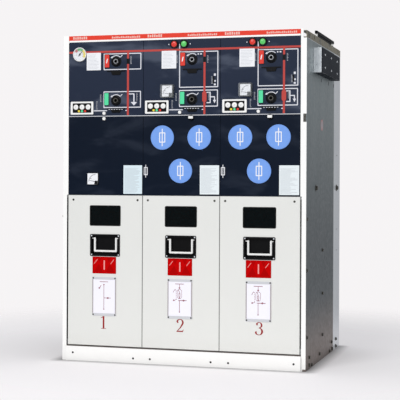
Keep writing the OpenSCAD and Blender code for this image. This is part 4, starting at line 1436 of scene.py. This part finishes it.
holder_spots = [(bay_x(bay) + holder_low.x - bay_x(1) + across, z) for bay in BAYS for across in (5, 100)
                for z in (holder_low.z + 5.5, holder_high.z - 5.5)]
front_screws("holder_screws", dark_steel, "passivated_steel", holder_spots, holder_face - 0.8, 3.4, 1.4)

KICK_SPOTS = [(49, 33), (312, 20), (384, 20), (639, 20), (711, 20), (975, 28)]
kick_spots = [(x - side_x, z) for x, z in KICK_SPOTS]
front_screws("kick_screws", black_plastic, "black_paint", kick_spots, low("kick_panel").y, 4.2, 2.2)

# %% Side bolts
BIG_BOLTS = [(200, 714), (680, 713)]
BOLTS = [(14, 593), (345, 455), (18, 392), (348, 275), (352, 102), (24, 130), (71, 46), (71, 16), (122, 10),
         (289, 30), (571, 43), (581, 13), (520, 10), (677, 43), (677, 12)]


def side_bolts(name, spots, head, height, washer, flat):
    """Bolts at places (back from the front face, up), on the right side and then on the left one."""
    both = [(side, back, up) for side in (1, -1) for back, up in spots]
    points = [(side * side_x, cover_face + back, up) for side, back, up in both]
    bolts.grow(name, dark_steel, "passivated_steel", points, [(side, 0, 0) for side, back, up in both],
               Head_Radius=head, Head_Height=height, Washer_Radius=washer, Washer_Height=flat)


side_bolts("side_bolts", BOLTS, 6.2, 4.5, 8.0, 1.2)
side_bolts("tank_bolts", BIG_BOLTS, 9.0, 6.5, 14.0, 1.8)

# %% Studs on the busbar covers, the top and the back
busbar_low, busbar_high = low("busbar_covers"), high("busbar_covers")
busbar_d, busbar_h = busbar_high.y - busbar_low.y, busbar_high.z - busbar_low.z
studs = [(side, share, rise) for side in (1, -1) for share in (0.16, 0.5, 0.84) for rise in (0.24, 0.76)]
points = [(side * busbar_high.x, busbar_low.y + share * busbar_d, busbar_low.z + rise * busbar_h)
          for side, share, rise in studs]
screws.grow("busbar_screws", zinc, "bright_zinc", points, [(side, 0, 0) for side, share, rise in studs],
            Head_Radius=4.5, Head_Rise=2.0)

top_low, top_high = low("top_plate"), high("top_plate")
points = [(x, y, top_high.z) for x in (-400, -200, 0, 200, 400) for y in (top_low.y + 90, top_high.y - 25)]
bolts.grow("top_bolts", zinc, "bright_zinc", points, (0, 0, 1), Head_Radius=5.5, Head_Height=4.0, Washer_Radius=7.5,
           Washer_Height=1.0)

rear_low, rear_high = low("rear_panels"), high("rear_panels")
rear_spots = [(x, z) for x in (rear_low.x + 14, rear_high.x - 14) for z in range(90, int(rear_high.z), 170)]
rear_spots += [(x, z) for x in (-220, 0, 220) for z in (rear_low.z + 20, rear_high.z - 20)]
points = [(x, rear_high.y, z) for x, z in rear_spots]
screws.grow("rear_screws", zinc, "bright_zinc", points, (0, 1, 0), Head_Radius=4.6, Head_Rise=2.0)

# %% Undersides of the busbar brackets, and painted shade in the hanging slots
def facing_down(level):
    """Places (back from the front face, across, proud) under a level."""
    return lambda back, across, proud: Vector((across, cover_face + back, level - proud)) * MM


undersides = Relief(facing_down(busbar_low.z), 0.8)
for side in (1, -1):
    ends = sorted((side * (side_x + 1.5), side * (busbar_high.x - 3.2)))
    undersides.bar(busbar_low.y - cover_face + 1.5, busbar_high.y - cover_face - 1.5, *ends)
undersides.done("busbar_undersides", busbar_paint, "black_paint")

# Each hanging slot holds a black plate just inside the side: painted shade where the slot looks into the dark cabinet.
SLOT_SHADE_W, SLOT_SHADE_H, SLOT_SHADE_DROP = 11.6, 16.6, 18.0
SIDES = {"right": 1, "left": -1}
for name, side in SIDES.items():
    slot_shades = Relief(facing_side(side), -0.2, 1.4)
    for step in (167, 332, 457):
        y, z = busbar_low.y - cover_face + step, busbar_low.z - SLOT_SHADE_DROP
        slot_shades.panel(*around(y, z, SLOT_SHADE_W / 2, SLOT_SHADE_H / 2), SLOT_SHADE_W / 2 - 0.1)
    slot_shades.done(f"painted_slot_shade_{name}", rubber, "black_plastic")

# %% [markdown]
# Last come three small things on the right: a plain round sticker, the row of small holes in the rear strip, drawn
# as black discs of painted shade, and the latch bracket that shows where the outer trim is cut away.

# %% Sticker, holes and latch bracket
STRIP_HOLES = [(678, 857), (697, 857), (697, 530), (678, 530), (678, 437), (697, 437)]
STICKER = (325, 975)
# Each hole is a black disc on the strip: painted shade where the hole shows dark.
for name, side in SIDES.items():
    holes = Relief(facing_side(side), 0.15)
    for back, up in STRIP_HOLES:
        holes.plate(arc_points(back, up, 2.6, 0, 360, 16)[:-1])
    holes.done(f"strip_holes_{name}", black_ink, "black_paint")
sticker, border = Relief(facing_side(1), 0.25), Relief(facing_side(1), 0.4)
sticker.disc(*STICKER, 19)
border.hoop(*STICKER, 23, 5.0)
sticker.done("side_sticker", grey_ink, "white_plastic")
border.done("side_sticker_border", sticker_ink, "red_button")

notch_x = high("corner_trim_right").x
bracket = Relief(cover_face + 8, 5.0)
for x0, x1, drop0, drop1 in ((12.5, 1.0, 32, 24), (12.5, 1.0, 12, 4), (10.5, 6.0, 24, 12)):
    bracket.bar(notch_x - x0, notch_x - x1, upper_z - drop0, upper_z - drop1)
bracket.done("latch_bracket", dark_steel, "passivated_steel", bevel=0.5)
